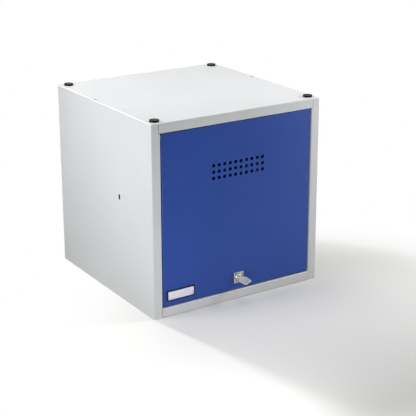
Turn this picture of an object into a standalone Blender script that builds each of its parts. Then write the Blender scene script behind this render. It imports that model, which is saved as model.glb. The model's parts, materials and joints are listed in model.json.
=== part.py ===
"""A stackable cube locker of folded sheet steel with a lift-up flap and a cam lock.

Metres, +Z up, the front towards -Y. The origin is on the floor, in the middle of the
whole object's footprint with the key in its lock. Sizes below are the locker's own:
x runs from its middle, y from its middle towards the rear, z from the floor.
"""

import math

import bmesh
import bpy
from mathutils import Matrix, Vector

# Carcass
CARCASS_WIDTH = 0.450
CARCASS_DEPTH = 0.450
CARCASS_HEIGHT = 0.450
SHEET = 0.001
BEND_RADIUS = 0.002
FRAME_FACE = 0.0225
FRAME_RETURN = 0.022
STOP_LIP = 0.012
REAR_FLANGE = 0.012
SEAM_WIDTH = 0.0005
SEAM_DEPTH = 0.0016
SEAM_TOP_RELIEF = 0.003
SEAM_FROM_OPENING = 0.0038
SEAM_CURVE = 0.0026

# Floor pan, raised so that the knobs of a locker below fit under it
PAN_RISE = 0.008
RAIL_FLANGE = 0.008
PAN_RELIEF = 0.003
STACKING_PLAY = 0.0007

# Slots for joining lockers side by side, and narrow slots in the top
JOINING_SLOT_WIDTH = 0.008
JOINING_SLOT_HEIGHT = 0.014
JOINING_SLOT_FROM_FRONT = 0.149
JOINING_SLOT_ABOVE_FLOOR = 0.248
TOP_SLOT_WIDTH = 0.0025
TOP_SLOT_LENGTH = 0.016
TOP_SLOT_FROM_SIDE = 0.006
TOP_SLOT_FROM_FRONT = 0.264

# Stacking knobs
KNOB_RADIUS = 0.011
KNOB_HEIGHT = 0.0045
KNOB_INSET = 0.020
KNOB_CHAMFER = 0.0010
KNOB_DISH_RADIUS = 0.0065
KNOB_DISH_DEPTH = 0.0008
KNOB_STEM_RADIUS = 0.004
KNOB_COLLAR_RADIUS = 0.0052
KNOB_COLLAR_LENGTH = 0.0015
KNOB_TIP_RADIUS = 0.003
KNOB_TIP_LENGTH = 0.0018

# Flap
DOOR_GAP = 0.0025
DOOR_RECESS = 0.001
DOOR_DEPTH = 0.018
DOOR_RETURN = 0.010
DOOR_BEND = 0.0015

# Vent field
VENT_COLUMNS = 10
VENT_ROWS = 3
VENT_PITCH = 0.0147
VENT_RADIUS = 0.0041
VENT_BELOW_TOP = 0.107

# Pivots
PIVOT_BEHIND_FACE = 0.0055
PIVOT_BELOW_TOP = 0.008
PIN_RADIUS = 0.0025
PIN_REACH = 0.006
PIN_HEAD_RADIUS = 0.0045
PIN_HEAD_LENGTH = 0.002
PIN_CHAMFER = 0.0004
BUSH_WALL = 0.0007
BUSH_FLANGE_RADIUS = 0.0055
BUSH_REACH = 0.004
BRACKET_SHEET = 0.002
BRACKET_BEND = 0.003
BRACKET_HEIGHT = 0.026
BRACKET_ARM = 0.015
BRACKET_FOOT = 0.014

# Buffers that the closed flap rests on
BUFFER_RADIUS = 0.004
BUFFER_DOME = 0.0006
BUFFER_ABOVE_FLOOR = 0.062

# Label holder
LABEL_WIDTH = 0.073
LABEL_HEIGHT = 0.025
LABEL_RISE = 0.0022
LABEL_BORDER = 0.0027
LABEL_BEVEL = 0.0005
LABEL_POCKET_DEPTH = 0.0014
LABEL_POCKET_MARGIN = 0.0009
LABEL_FROM_LEFT = 0.0092
LABEL_ABOVE_BOTTOM = 0.0119
CARD_THICKNESS = 0.0004
WINDOW_THICKNESS = 0.0004

# Cam lock
LOCK_ABOVE_BOTTOM = 0.029
LOCK_HEAD_SIZE = 0.026
LOCK_HEAD_RISE = 0.0042
LOCK_HEAD_BEVEL = 0.0009
LOCK_HEAD_RIM = 0.0024
LOCK_HEAD_FLOOR = 0.0012
LOCK_BOSS_BASE_RADIUS = 0.0103
LOCK_BOSS_RADIUS = 0.0078
LOCK_BOSS_RISE = 0.006
LOCK_BARREL_RADIUS = 0.009
PLUG_RADIUS = 0.006
NUT_RADIUS = 0.0135
NUT_LENGTH = 0.004
DRIVE_SIZE = 0.007
STOP_WASHER_RADIUS = 0.0085
STOP_WASHER_THICKNESS = 0.0012
STOP_TAB_WIDTH = 0.006
STOP_TAB_REACH = 0.0105
CAM_THICKNESS = 0.002
CAM_CLEARANCE = 0.0012
CAM_EYE_RADIUS = 0.009
CAM_TIP_RADIUS = 0.006
CAM_REACH = 0.038
SCREW_RADIUS = 0.0017
SCREW_TO_KEY = 0.002
SCREW_HEAD_RADIUS = 0.006
SCREW_HEAD_LENGTH = 0.002
SCREW_HEAD_CHAMFER = 0.0005
LOCK_TURN_AT_REST = math.radians(70)

# Key
KEY_THICKNESS = 0.0021
KEY_BLADE_WIDTH = 0.0076
KEY_BLADE_LENGTH = 0.022
KEY_BLADE_POINT = 0.003
KEY_CUT_DEPTH = 0.0016
KEY_CUT_SHARES = (1, 0.55, 0.85, 0.4, 0.7)
KEY_NECK_WIDTH = 0.010
KEY_NECK_LENGTH = 0.007
BOW_WIDTH = 0.0215
BOW_END_WIDTH = 0.018
BOW_SHOULDER = 0.008
BOW_LENGTH = 0.031
BOW_CORNER = 0.0035
BOW_HOLE_RADIUS = 0.0027
BOW_HOLE_FROM_END = 0.0085

# Fits
FIT_GAP = 0.0003
OVERRUN = 0.002
NEAR = 0.00001

# Counts and angles
BEND_SEGMENTS = 3
ROUND_STEPS = 24
SMALL_ROUND_STEPS = 16
VENT_STEPS = 14
ARC_STEPS = 5
SHARP_FOLD = math.radians(30)
SMOOTH_LIMIT = math.radians(35)

# Levels that several pieces share
HALF_WIDTH = CARCASS_WIDTH / 2
FRONT = -CARCASS_DEPTH / 2
REAR = CARCASS_DEPTH / 2
OPENING_HALF = HALF_WIDTH - FRAME_FACE
OPENING_TOP = CARCASS_HEIGHT - FRAME_FACE
LIP_FRONT = FRONT + FRAME_RETURN
DOOR_FACE = FRONT + DOOR_RECESS
DOOR_BACK = DOOR_FACE + DOOR_DEPTH
DOOR_HALF = OPENING_HALF - DOOR_GAP
DOOR_TOP = OPENING_TOP - DOOR_GAP
DOOR_BOTTOM = FRAME_FACE + DOOR_GAP
PIVOT_Y = DOOR_FACE + PIVOT_BEHIND_FACE
PIVOT_Z = DOOR_TOP - PIVOT_BELOW_TOP
LOCK_Z = DOOR_BOTTOM + LOCK_ABOVE_BOTTOM
BOSS_FRONT = DOOR_FACE - LOCK_BOSS_RISE
CAM_FRONT = LIP_FRONT + CAM_CLEARANCE
CAM_BACK = CAM_FRONT + CAM_THICKNESS
WASHER_FRONT = CAM_FRONT - FIT_GAP - STOP_WASHER_THICKNESS
BARREL_BACK = WASHER_FRONT - FIT_GAP
KEY_FRONT = BOSS_FRONT - FIT_GAP - KEY_NECK_LENGTH - BOW_LENGTH
KEY_TIP = BOSS_FRONT - FIT_GAP + KEY_BLADE_LENGTH
SCREW_SEAT = CAM_BACK + FIT_GAP
SCREW_LENGTH = SCREW_SEAT - KEY_TIP - SCREW_TO_KEY
KNOB_X = HALF_WIDTH - KNOB_INSET
KNOB_Y = REAR - KNOB_INSET
SLOT_X = HALF_WIDTH - TOP_SLOT_FROM_SIDE
SLOT_Y = FRONT + TOP_SLOT_FROM_FRONT
ORIGIN_SHIFT = (FRONT - KEY_FRONT) / 2

COLOURS = {
    "body_paint": ((0.62, 0.64, 0.65), 0.45, 0.0),
    "door_paint": ((0.028, 0.082, 0.30), 0.42, 0.0),
    "knob_plastic": ((0.012, 0.012, 0.013), 0.50, 0.0),
    "rubber": ((0.02, 0.02, 0.02), 0.80, 0.0),
    "zinc_steel": ((0.55, 0.56, 0.58), 0.35, 1.0),
    "nickel": ((0.66, 0.64, 0.60), 0.22, 1.0),
    "nylon": ((0.70, 0.69, 0.64), 0.50, 0.0),
    "label_plastic": ((0.015, 0.015, 0.017), 0.40, 0.0),
    "card": ((0.85, 0.84, 0.88), 0.80, 0.0),
    "clear_plastic": ((0.80, 0.84, 0.88), 0.08, 0.0),
}


class Body:
    """An empty that carries pieces, with the place of its origin in the locker's own sizes."""

    def __init__(self, name, origin, parent=None, turn=0.0):
        self.origin = Vector(origin)
        self.empty = bpy.data.objects.new(name, None)
        bpy.context.collection.objects.link(self.empty)
        if parent is None:
            self.empty.location = self.origin + Vector((0, ORIGIN_SHIFT, 0))
        else:
            self.empty.parent = parent.empty
            self.empty.location = self.origin - parent.origin
        self.empty.rotation_euler = (0, turn, 0)


def clear_scene():
    """Empties the scene of the objects that Blender starts with."""
    for obj in list(bpy.data.objects):
        bpy.data.objects.remove(obj, do_unlink=True)


def make_material(name):
    """A Principled material with the colour, roughness and metallic value of its entry."""
    colour, roughness, metallic = COLOURS[name]
    material = bpy.data.materials.new(name)
    material.use_nodes = True
    shader = material.node_tree.nodes["Principled BSDF"]
    shader.inputs["Base Color"].default_value = (*colour, 1)
    shader.inputs["Roughness"].default_value = roughness
    shader.inputs["Metallic"].default_value = metallic
    return material


def add_piece(name, bm, material, body, at=(0, 0, 0), turn=(0, 0, 0)):
    """Makes a piece from a mesh whose own origin lies at `at` in the locker's sizes."""
    bmesh.ops.recalc_face_normals(bm, faces=bm.faces)
    mesh = bpy.data.meshes.new(name)
    bm.to_mesh(mesh)
    bm.free()
    mesh.materials.append(material)
    return add_copy(name, mesh, body, at, turn)


def add_copy(name, mesh, body, at, turn=(0, 0, 0)):
    """Places an object with this mesh on a body, at a place in the locker's sizes."""
    obj = bpy.data.objects.new(name, mesh)
    bpy.context.collection.objects.link(obj)
    obj.parent = body.empty
    obj.location = Vector(at) - body.origin
    obj.rotation_euler = turn
    return obj


def add_thickness(obj, thickness):
    """Gives a folded surface its sheet thickness, on the side away from its normals."""
    modifier = obj.modifiers.new("sheet", "SOLIDIFY")
    modifier.thickness = thickness
    modifier.offset = -1
    modifier.use_even_offset = True
    modifier.use_quality_normals = True


def combine(obj, bm, operation, label):
    """Cuts or joins another closed mesh, given in the same coordinates as the object's own."""
    bmesh.ops.recalc_face_normals(bm, faces=bm.faces)
    mesh = bpy.data.meshes.new(label)
    bm.to_mesh(mesh)
    bm.free()
    tool = bpy.data.objects.new(label, mesh)
    bpy.context.collection.objects.link(tool)
    tool.parent = obj.parent
    tool.location = obj.location
    tool.rotation_euler = obj.rotation_euler
    tool.hide_render = True
    tool.display_type = "WIRE"
    modifier = obj.modifiers.new(label, "BOOLEAN")
    modifier.operation = operation
    modifier.solver = "EXACT"
    modifier.object = tool


def smooth(obj):
    """Shades a round piece smooth, with its sharp edges kept."""
    obj.data.shade_smooth()
    obj.data.set_sharp_from_angle(angle=SMOOTH_LIMIT)


def near(value, target):
    """Whether two coordinates are the same place."""
    return abs(value - target) < NEAR


def new_verts(result):
    """The corners that an extrusion made."""
    return [item for item in result["geom"] if isinstance(item, bmesh.types.BMVert)]


def new_edges(result):
    """The edges that an extrusion made."""
    return [item for item in result["geom"] if isinstance(item, bmesh.types.BMEdge)]


def add_box(bm, low, high):
    """Adds a box between two corners and gives its faces."""
    low = Vector(low)
    high = Vector(high)
    matrix = Matrix.Translation((low + high) / 2) @ Matrix.Diagonal((*(high - low), 1))
    made = bmesh.ops.create_cube(bm, size=1, matrix=matrix)
    faces = {face for vert in made["verts"] for face in vert.link_faces}
    return list(faces)


def add_rod(bm, centre, axis, radius, length, steps):
    """Adds a closed cylinder along an axis, centred on a point."""
    turn = Vector((0, 0, 1)).rotation_difference(Vector(axis)).to_matrix().to_4x4()
    matrix = Matrix.Translation(centre) @ turn
    bmesh.ops.create_cone(bm, cap_ends=True, segments=steps, radius1=radius, radius2=radius,
                          depth=length, matrix=matrix)


def add_prism(bm, outline, thickness, axis=(0, 0, 1)):
    """Adds a solid with a flat outline, extruded along an axis."""
    face = bm.faces.new([bm.verts.new(point) for point in outline])
    made = bmesh.ops.extrude_face_region(bm, geom=[face])
    bmesh.ops.translate(bm, verts=new_verts(made), vec=Vector(axis) * thickness)


def add_taper(bm, start, end, start_radius, end_radius, steps):
    """Adds a closed cone frustum between two points on one axis."""
    start = Vector(start)
    end = Vector(end)
    turn = Vector((0, 0, 1)).rotation_difference(end - start).to_matrix().to_4x4()
    matrix = Matrix.Translation((start + end) / 2) @ turn
    bmesh.ops.create_cone(bm, cap_ends=True, segments=steps, radius1=start_radius,
                          radius2=end_radius, depth=(end - start).length, matrix=matrix)


def lathe(profile, steps):
    """A turned piece about Z from (radius, z) points, open where it starts off the axis."""
    bm = bmesh.new()
    verts = [bm.verts.new((radius, 0, z)) for radius, z in profile]
    edges = [bm.edges.new(pair) for pair in zip(verts, verts[1:])]
    if profile[0][0] > 0:
        edges.append(bm.edges.new((verts[-1], verts[0])))
    bmesh.ops.spin(bm, geom=verts + edges, axis=(0, 0, 1), cent=(0, 0, 0), angle=math.tau,
                   steps=steps, use_merge=True)
    bmesh.ops.remove_doubles(bm, verts=bm.verts, dist=NEAR)
    return bm


def arc(centre, radius, start, end, steps=ARC_STEPS):
    """Points along an arc in a plane, from one angle to another."""
    angles = [start + (end - start) * step / steps for step in range(steps + 1)]
    return [(centre[0] + radius * math.cos(a), centre[1] + radius * math.sin(a)) for a in angles]


def slot_outline(width, height):
    """A slot with round ends, its long way along the second coordinate."""
    straight = (height - width) / 2
    upper = arc((0, straight), width / 2, 0, math.pi)
    lower = arc((0, -straight), width / 2, math.pi, math.tau)
    return upper + lower


def bend(bm, radius, keep_sharp=()):
    """Rounds every fold of a sheet, but for the welded corners that are named."""
    folds = [edge for edge in bm.edges
             if len(edge.link_faces) == 2 and edge.calc_face_angle() > SHARP_FOLD
             and edge not in keep_sharp]
    bmesh.ops.bevel(bm, geom=folds, offset=radius, offset_type="OFFSET", affect="EDGES",
                    segments=BEND_SEGMENTS, profile=0.5, material=-1)


def cut_window(bm, face, width):
    """Turns a face into a frame of the given width that stays open at the floor."""
    ring = bmesh.ops.inset_individual(bm, faces=[face], thickness=width, use_even_offset=True)
    low = [item for item in ring["faces"]
           if all(near(edge.verts[0].co.z, edge.verts[1].co.z) or edge.calc_length() < width * 2
                  for edge in item.edges) and item.calc_center_median().z < width]
    inner = list(face.verts)
    bmesh.ops.delete(bm, geom=[face, *low], context="FACES")
    for vert in inner:
        if vert.is_valid and vert.co.z < width + NEAR:
            vert.co.z = 0


def wrapper_surface():
    """The outer surface of the sheet that makes both sides, the top, the front frame and lips."""
    bm = bmesh.new()
    faces = add_box(bm, (-HALF_WIDTH, FRONT, 0), (HALF_WIDTH, REAR, CARCASS_HEIGHT))
    bmesh.ops.recalc_face_normals(bm, faces=bm.faces)
    floor = next(face for face in faces if face.normal.z < -0.5)
    front = next(face for face in faces if face.normal.y < -0.5)
    rear = next(face for face in faces if face.normal.y > 0.5)
    bmesh.ops.delete(bm, geom=[floor], context="FACES")
    cut_window(bm, front, FRAME_FACE)
    cut_window(bm, rear, REAR_FLANGE)
    rim = [edge for edge in bm.edges if edge.is_boundary
           and all(near(v.co.y, FRONT) and abs(v.co.x) < HALF_WIDTH - NEAR for v in edge.verts)]
    made = bmesh.ops.extrude_edge_only(bm, edges=rim)
    bmesh.ops.translate(bm, verts=new_verts(made), vec=(0, FRAME_RETURN, 0))
    lip_rim = [edge for edge in new_edges(made) if all(near(v.co.y, LIP_FRONT) for v in edge.verts)]
    made = bmesh.ops.extrude_edge_only(bm, edges=lip_rim)
    for vert in new_verts(made):
        vert.co.x -= math.copysign(STOP_LIP, vert.co.x)
        if near(vert.co.z, OPENING_TOP):
            vert.co.z -= STOP_LIP
    bmesh.ops.recalc_face_normals(bm, faces=bm.faces)
    welded = {edge for edge in bm.edges
              if all(near(abs(v.co.x), OPENING_HALF) and near(v.co.z, OPENING_TOP)
                     for v in edge.verts)}
    bend(bm, BEND_RADIUS, welded)
    return bm


def seam_cutters():
    """A thin seam at each end of the top rail, which curves into the opening's upper corner."""
    bm = bmesh.new()
    line = OPENING_HALF + SEAM_FROM_OPENING
    radius = SEAM_CURVE
    turn = (line - radius, OPENING_TOP + radius - SEAM_WIDTH)
    for side in (-1, 1):
        outer = [(line + SEAM_WIDTH, CARCASS_HEIGHT - SEAM_TOP_RELIEF)]
        outer += arc(turn, radius + SEAM_WIDTH, 0, -math.pi / 2)
        outer.append((OPENING_HALF - OVERRUN, turn[1] - radius - SEAM_WIDTH))
        inner = [(OPENING_HALF - OVERRUN, turn[1] - radius)]
        inner += arc(turn, radius, -math.pi / 2, 0)
        inner.append((line, CARCASS_HEIGHT - SEAM_TOP_RELIEF))
        outline = [(side * x, FRONT - OVERRUN, z) for x, z in outer + inner]
        add_prism(bm, outline, OVERRUN + SEAM_DEPTH, (0, 1, 0))
    return bm


def wrapper_cutters():
    """Everything that is cut out of the wrapper: slots, holes and the notches at the floor."""
    bm = bmesh.new()
    reach = OPENING_HALF + SHEET + OVERRUN
    notch_top = FRAME_FACE + FIT_GAP
    add_box(bm, (-reach, LIP_FRONT - BEND_RADIUS - SHEET, -OVERRUN),
            (reach, LIP_FRONT + SHEET + OVERRUN, notch_top))
    thick = SHEET + OVERRUN * 2
    slot = slot_outline(JOINING_SLOT_WIDTH, JOINING_SLOT_HEIGHT)
    narrow = slot_outline(TOP_SLOT_WIDTH, TOP_SLOT_LENGTH)
    for side in (-1, 1):
        start = side * (HALF_WIDTH + OVERRUN)
        add_prism(bm, [(start, FRONT + JOINING_SLOT_FROM_FRONT + u, JOINING_SLOT_ABOVE_FLOOR + v)
                       for u, v in slot], thick, (-side, 0, 0))
        add_prism(bm, [(side * SLOT_X + u, SLOT_Y + v, CARCASS_HEIGHT + OVERRUN)
                       for u, v in narrow], thick, (0, 0, -1))
        add_rod(bm, (side * (OPENING_HALF + SHEET / 2), PIVOT_Y, PIVOT_Z), (1, 0, 0),
                PIN_RADIUS + FIT_GAP, thick, SMALL_ROUND_STEPS)
        for y in (-KNOB_Y, KNOB_Y):
            add_rod(bm, (side * KNOB_X, y, CARCASS_HEIGHT - SHEET / 2), (0, 0, 1),
                    KNOB_STEM_RADIUS + FIT_GAP, thick, ROUND_STEPS)
    return bm


def knob_notch():
    """The space under each upright's return for the knob of the locker below."""
    bm = bmesh.new()
    reach = OPENING_HALF + SHEET + OVERRUN
    add_box(bm, (-reach, FRONT + RAIL_FLANGE, -OVERRUN), (reach, LIP_FRONT + OVERRUN, PAN_RISE - SHEET))
    return bm


def make_wrapper(body, material):
    """Both sides, the top, the uprights, the top rail and the rear flanges, folded in one."""
    obj = add_piece("carcass_wrapper", wrapper_surface(), material, body)
    add_thickness(obj, SHEET)
    combine(obj, seam_cutters(), "DIFFERENCE", "seam_cutters")
    combine(obj, wrapper_cutters(), "DIFFERENCE", "wrapper_cutters")
    combine(obj, knob_notch(), "DIFFERENCE", "knob_notch")


def pan_surface():
    """The outer surface of the floor pan with its skirts, resting flanges and the bottom rail."""
    half = HALF_WIDTH - SHEET - FIT_GAP
    rear = REAR - SHEET - FIT_GAP
    rail_half = OPENING_HALF - FIT_GAP
    flange = KNOB_INSET - KNOB_RADIUS - STACKING_PLAY - SHEET - FIT_GAP
    bm = bmesh.new()
    middle = Vector((0, (LIP_FRONT + rear) / 2, PAN_RISE))
    matrix = Matrix.Translation(middle) @ Matrix.Diagonal((half * 2, rear - LIP_FRONT, 1, 1))
    bmesh.ops.create_grid(bm, x_segments=1, y_segments=1, size=0.5, matrix=matrix)
    for place, normal in (((-rail_half, 0, 0), (1, 0, 0)), ((rail_half, 0, 0), (1, 0, 0)),
                          ((0, LIP_FRONT + PAN_RELIEF, 0), (0, 1, 0))):
        everything = [*bm.verts, *bm.edges, *bm.faces]
        bmesh.ops.bisect_plane(bm, geom=everything, plane_co=place, plane_no=normal, dist=NEAR)
    notches = [face for face in bm.faces
               if abs(face.calc_center_median().x) > rail_half
               and face.calc_center_median().y < LIP_FRONT + PAN_RELIEF]
    bmesh.ops.delete(bm, geom=notches, context="FACES")
    edges = [edge for edge in bm.edges if all(near(v.co.y, LIP_FRONT) for v in edge.verts)]
    steps = ((0, 0, FRAME_FACE - PAN_RISE), (0, -FRAME_RETURN, 0), (0, 0, -FRAME_FACE),
             (0, RAIL_FLANGE, 0))
    for step in steps:
        made = bmesh.ops.extrude_edge_only(bm, edges=edges)
        verts = new_verts(made)
        bmesh.ops.translate(bm, verts=verts, vec=step)
        edges = [edge for edge in new_edges(made) if all(v in verts for v in edge.verts)]
    rim = [edge for edge in bm.edges if edge.is_boundary
           and (all(near(abs(v.co.x), half) for v in edge.verts)
                or all(near(v.co.y, rear) for v in edge.verts))]
    made = bmesh.ops.extrude_edge_only(bm, edges=rim)
    verts = new_verts(made)
    bmesh.ops.translate(bm, verts=verts, vec=(0, 0, -PAN_RISE))
    low = [edge for edge in new_edges(made) if all(v in verts for v in edge.verts)]
    made = bmesh.ops.extrude_edge_only(bm, edges=low)
    for vert in new_verts(made):
        if near(abs(vert.co.x), half):
            vert.co.x -= math.copysign(flange, vert.co.x)
        if near(vert.co.y, rear):
            vert.co.y -= flange
    bmesh.ops.recalc_face_normals(bm, faces=bm.faces)
    bend(bm, BEND_RADIUS)
    return bm


def make_pan(body, material):
    """The floor pan, folded in one with the bottom rail."""
    obj = add_piece("floor_pan", pan_surface(), material, body)
    add_thickness(obj, SHEET)


def make_rear_panel(body, material):
    """A flat sheet welded inside the rear flanges, clear of the folds, on the floor pan."""
    half = HALF_WIDTH - BEND_RADIUS
    back = REAR - SHEET - FIT_GAP
    bm = bmesh.new()
    add_box(bm, (-half, back - SHEET, PAN_RISE + FIT_GAP),
            (half, back, CARCASS_HEIGHT - BEND_RADIUS))
    add_piece("rear_panel", bm, material, body)


def knob_profile():
    """A push-in knob from the middle of its dished top down to the tip of its stem."""
    base = FIT_GAP
    top = KNOB_HEIGHT
    collar_top = -SHEET - FIT_GAP
    collar_low = collar_top - KNOB_COLLAR_LENGTH
    return [(0, top - KNOB_DISH_DEPTH), (KNOB_DISH_RADIUS - KNOB_DISH_DEPTH, top - KNOB_DISH_DEPTH),
            (KNOB_DISH_RADIUS, top), (KNOB_RADIUS - KNOB_CHAMFER, top),
            (KNOB_RADIUS, top - KNOB_CHAMFER), (KNOB_RADIUS, base), (KNOB_STEM_RADIUS, base),
            (KNOB_STEM_RADIUS, collar_top), (KNOB_COLLAR_RADIUS, collar_top),
            (KNOB_COLLAR_RADIUS, collar_low), (KNOB_TIP_RADIUS, collar_low - KNOB_TIP_LENGTH),
            (0, collar_low - KNOB_TIP_LENGTH)]


def make_knobs(body, material):
    """Four knobs near the corners of the top, which locate the locker stacked above."""
    mesh = None
    for end, y in (("front", -KNOB_Y), ("rear", KNOB_Y)):
        for side, x in (("left", -KNOB_X), ("right", KNOB_X)):
            name = f"stacking_knob_{end}_{side}"
            place = (x, y, CARCASS_HEIGHT)
            if mesh is None:
                obj = add_piece(name, lathe(knob_profile(), ROUND_STEPS), material, body, place)
                smooth(obj)
                mesh = obj.data
            else:
                add_copy(name, mesh, body, place)


def make_brackets(body, material):
    """An angle in each upright that backs its return where the pivot pin is riveted."""
    x = OPENING_HALF + SHEET + FIT_GAP
    y = FRONT + BEND_RADIUS + FIT_GAP
    foot_z = PIVOT_Z - BRACKET_HEIGHT / 2
    for name, side in (("left", -1), ("right", 1)):
        bm = bmesh.new()
        ends = ((x, y), (x, y + BRACKET_ARM), (x + BRACKET_FOOT, y + BRACKET_ARM))
        verts = [bm.verts.new((side * u, v, foot_z)) for u, v in ends]
        edges = [bm.edges.new(pair) for pair in zip(verts, verts[1:])]
        made = bmesh.ops.extrude_edge_only(bm, edges=edges)
        bmesh.ops.translate(bm, verts=new_verts(made), vec=(0, 0, BRACKET_HEIGHT))
        bmesh.ops.recalc_face_normals(bm, faces=bm.faces)
        if next(iter(bm.faces)).normal.dot(Vector((-side, 1, 0))) < 0:
            bmesh.ops.reverse_faces(bm, faces=bm.faces)
        bend(bm, BRACKET_BEND)
        mesh = bpy.data.meshes.new(f"hinge_bracket_{name}")
        bm.to_mesh(mesh)
        bm.free()
        mesh.materials.append(material)
        obj = add_copy(f"hinge_bracket_{name}", mesh, body, (0, 0, 0))
        add_thickness(obj, BRACKET_SHEET)
        hole = bmesh.new()
        add_rod(hole, (side * (x + BRACKET_SHEET / 2), PIVOT_Y, PIVOT_Z), (1, 0, 0),
                PIN_RADIUS + FIT_GAP, BRACKET_SHEET + OVERRUN * 2, SMALL_ROUND_STEPS)
        combine(obj, hole, "DIFFERENCE", f"pin_hole_{name}")


def make_pins(body, material):
    """The riveted pins that the flap turns on, each with its head inside the upright."""
    inner = DOOR_HALF - PIN_REACH
    seat = OPENING_HALF + SHEET + FIT_GAP + BRACKET_SHEET + FIT_GAP
    profile = [(0, 0), (PIN_RADIUS - PIN_CHAMFER, 0), (PIN_RADIUS, PIN_CHAMFER),
               (PIN_RADIUS, seat - inner), (PIN_HEAD_RADIUS, seat - inner),
               (PIN_HEAD_RADIUS, seat - inner + PIN_HEAD_LENGTH - PIN_CHAMFER),
               (PIN_HEAD_RADIUS - PIN_CHAMFER, seat - inner + PIN_HEAD_LENGTH),
               (0, seat - inner + PIN_HEAD_LENGTH)]
    for name, side in (("left", -1), ("right", 1)):
        obj = add_piece(f"hinge_pin_{name}", lathe(profile, SMALL_ROUND_STEPS), material, body,
                        (side * inner, PIVOT_Y, PIVOT_Z), (0, side * math.pi / 2, 0))
        smooth(obj)


def make_buffers(body, material):
    """Two rubber buffers on the lips of the uprights, which the closed flap rests on."""
    length = LIP_FRONT - DOOR_BACK - FIT_GAP * 2
    profile = [(0, 0), (BUFFER_RADIUS, 0), (BUFFER_RADIUS, length - BUFFER_DOME),
               (BUFFER_RADIUS - BUFFER_DOME, length), (0, length)]
    x = DOOR_HALF - BUFFER_RADIUS
    for name, side in (("left", -1), ("right", 1)):
        obj = add_piece(f"door_buffer_{name}", lathe(profile, SMALL_ROUND_STEPS), material, body,
                        (side * x, LIP_FRONT - FIT_GAP, BUFFER_ABOVE_FLOOR), (math.pi / 2, 0, 0))
        smooth(obj)


def vent_cutters():
    """A grid of round vent holes, centred across the flap."""
    bm = bmesh.new()
    middle = DOOR_TOP - VENT_BELOW_TOP
    for column in range(VENT_COLUMNS):
        for row in range(VENT_ROWS):
            x = (column - (VENT_COLUMNS - 1) / 2) * VENT_PITCH
            z = middle + (row - (VENT_ROWS - 1) / 2) * VENT_PITCH
            add_rod(bm, (x, DOOR_FACE + SHEET / 2, z), (0, 1, 0), VENT_RADIUS,
                    SHEET + OVERRUN, VENT_STEPS)
    return bm


def door_holes():
    """The holes for the lock's barrel and, in the side walls, for the pivot bushes."""
    bm = bmesh.new()
    add_rod(bm, (0, DOOR_FACE + SHEET / 2, LOCK_Z), (0, 1, 0), LOCK_BARREL_RADIUS + FIT_GAP,
            SHEET + OVERRUN, ROUND_STEPS)
    for side in (-1, 1):
        add_rod(bm, (side * (DOOR_HALF - SHEET / 2), PIVOT_Y, PIVOT_Z), (1, 0, 0),
                PIN_RADIUS + FIT_GAP * 2 + BUSH_WALL, SHEET + OVERRUN, SMALL_ROUND_STEPS)
    return bm


def shift_mesh(bm, body):
    """Moves a mesh from the locker's own sizes to those of a body's empty."""
    bmesh.ops.translate(bm, verts=bm.verts, vec=-body.origin)
    return bm


def make_door(body, material):
    """The flap: a tray folded back at all four sides, with a stiffening return round its rear."""
    bm = bmesh.new()
    faces = add_box(bm, (-DOOR_HALF, DOOR_FACE, DOOR_BOTTOM), (DOOR_HALF, DOOR_BACK, DOOR_TOP))
    bmesh.ops.recalc_face_normals(bm, faces=bm.faces)
    rear = next(face for face in faces if face.normal.y > 0.5)
    bmesh.ops.inset_individual(bm, faces=[rear], thickness=DOOR_RETURN, use_even_offset=True)
    bmesh.ops.delete(bm, geom=[rear], context="FACES")
    bend(bm, DOOR_BEND)
    obj = add_piece("door_panel", shift_mesh(bm, body), material, body, body.origin)
    add_thickness(obj, SHEET)
    combine(obj, shift_mesh(vent_cutters(), body), "DIFFERENCE", "vent_cutters")
    combine(obj, shift_mesh(door_holes(), body), "DIFFERENCE", "door_holes")


def make_bushes(body, material):
    """A flanged bush in each side wall of the flap, running on its pin."""
    bore = PIN_RADIUS + FIT_GAP
    outer = bore + BUSH_WALL
    flange = DOOR_GAP - FIT_GAP * 2
    profile = [(bore, 0), (bore, BUSH_REACH + FIT_GAP + flange),
               (BUSH_FLANGE_RADIUS, BUSH_REACH + FIT_GAP + flange),
               (BUSH_FLANGE_RADIUS, BUSH_REACH + FIT_GAP), (outer, BUSH_REACH + FIT_GAP), (outer, 0)]
    for name, side in (("left", -1), ("right", 1)):
        obj = add_piece(f"hinge_bush_{name}", lathe(profile, SMALL_ROUND_STEPS), material, body,
                        (side * (DOOR_HALF - BUSH_REACH), PIVOT_Y, PIVOT_Z),
                        (0, side * math.pi / 2, 0))
        smooth(obj)


def label_box(margin, near_y, far_y):
    """A box centred on the label holder, inset from its outline by a margin."""
    left = -DOOR_HALF + LABEL_FROM_LEFT
    low = DOOR_BOTTOM + LABEL_ABOVE_BOTTOM
    bm = bmesh.new()
    add_box(bm, (left + margin, near_y, low + margin),
            (left + LABEL_WIDTH - margin, far_y, low + LABEL_HEIGHT - margin))
    return bm


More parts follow.
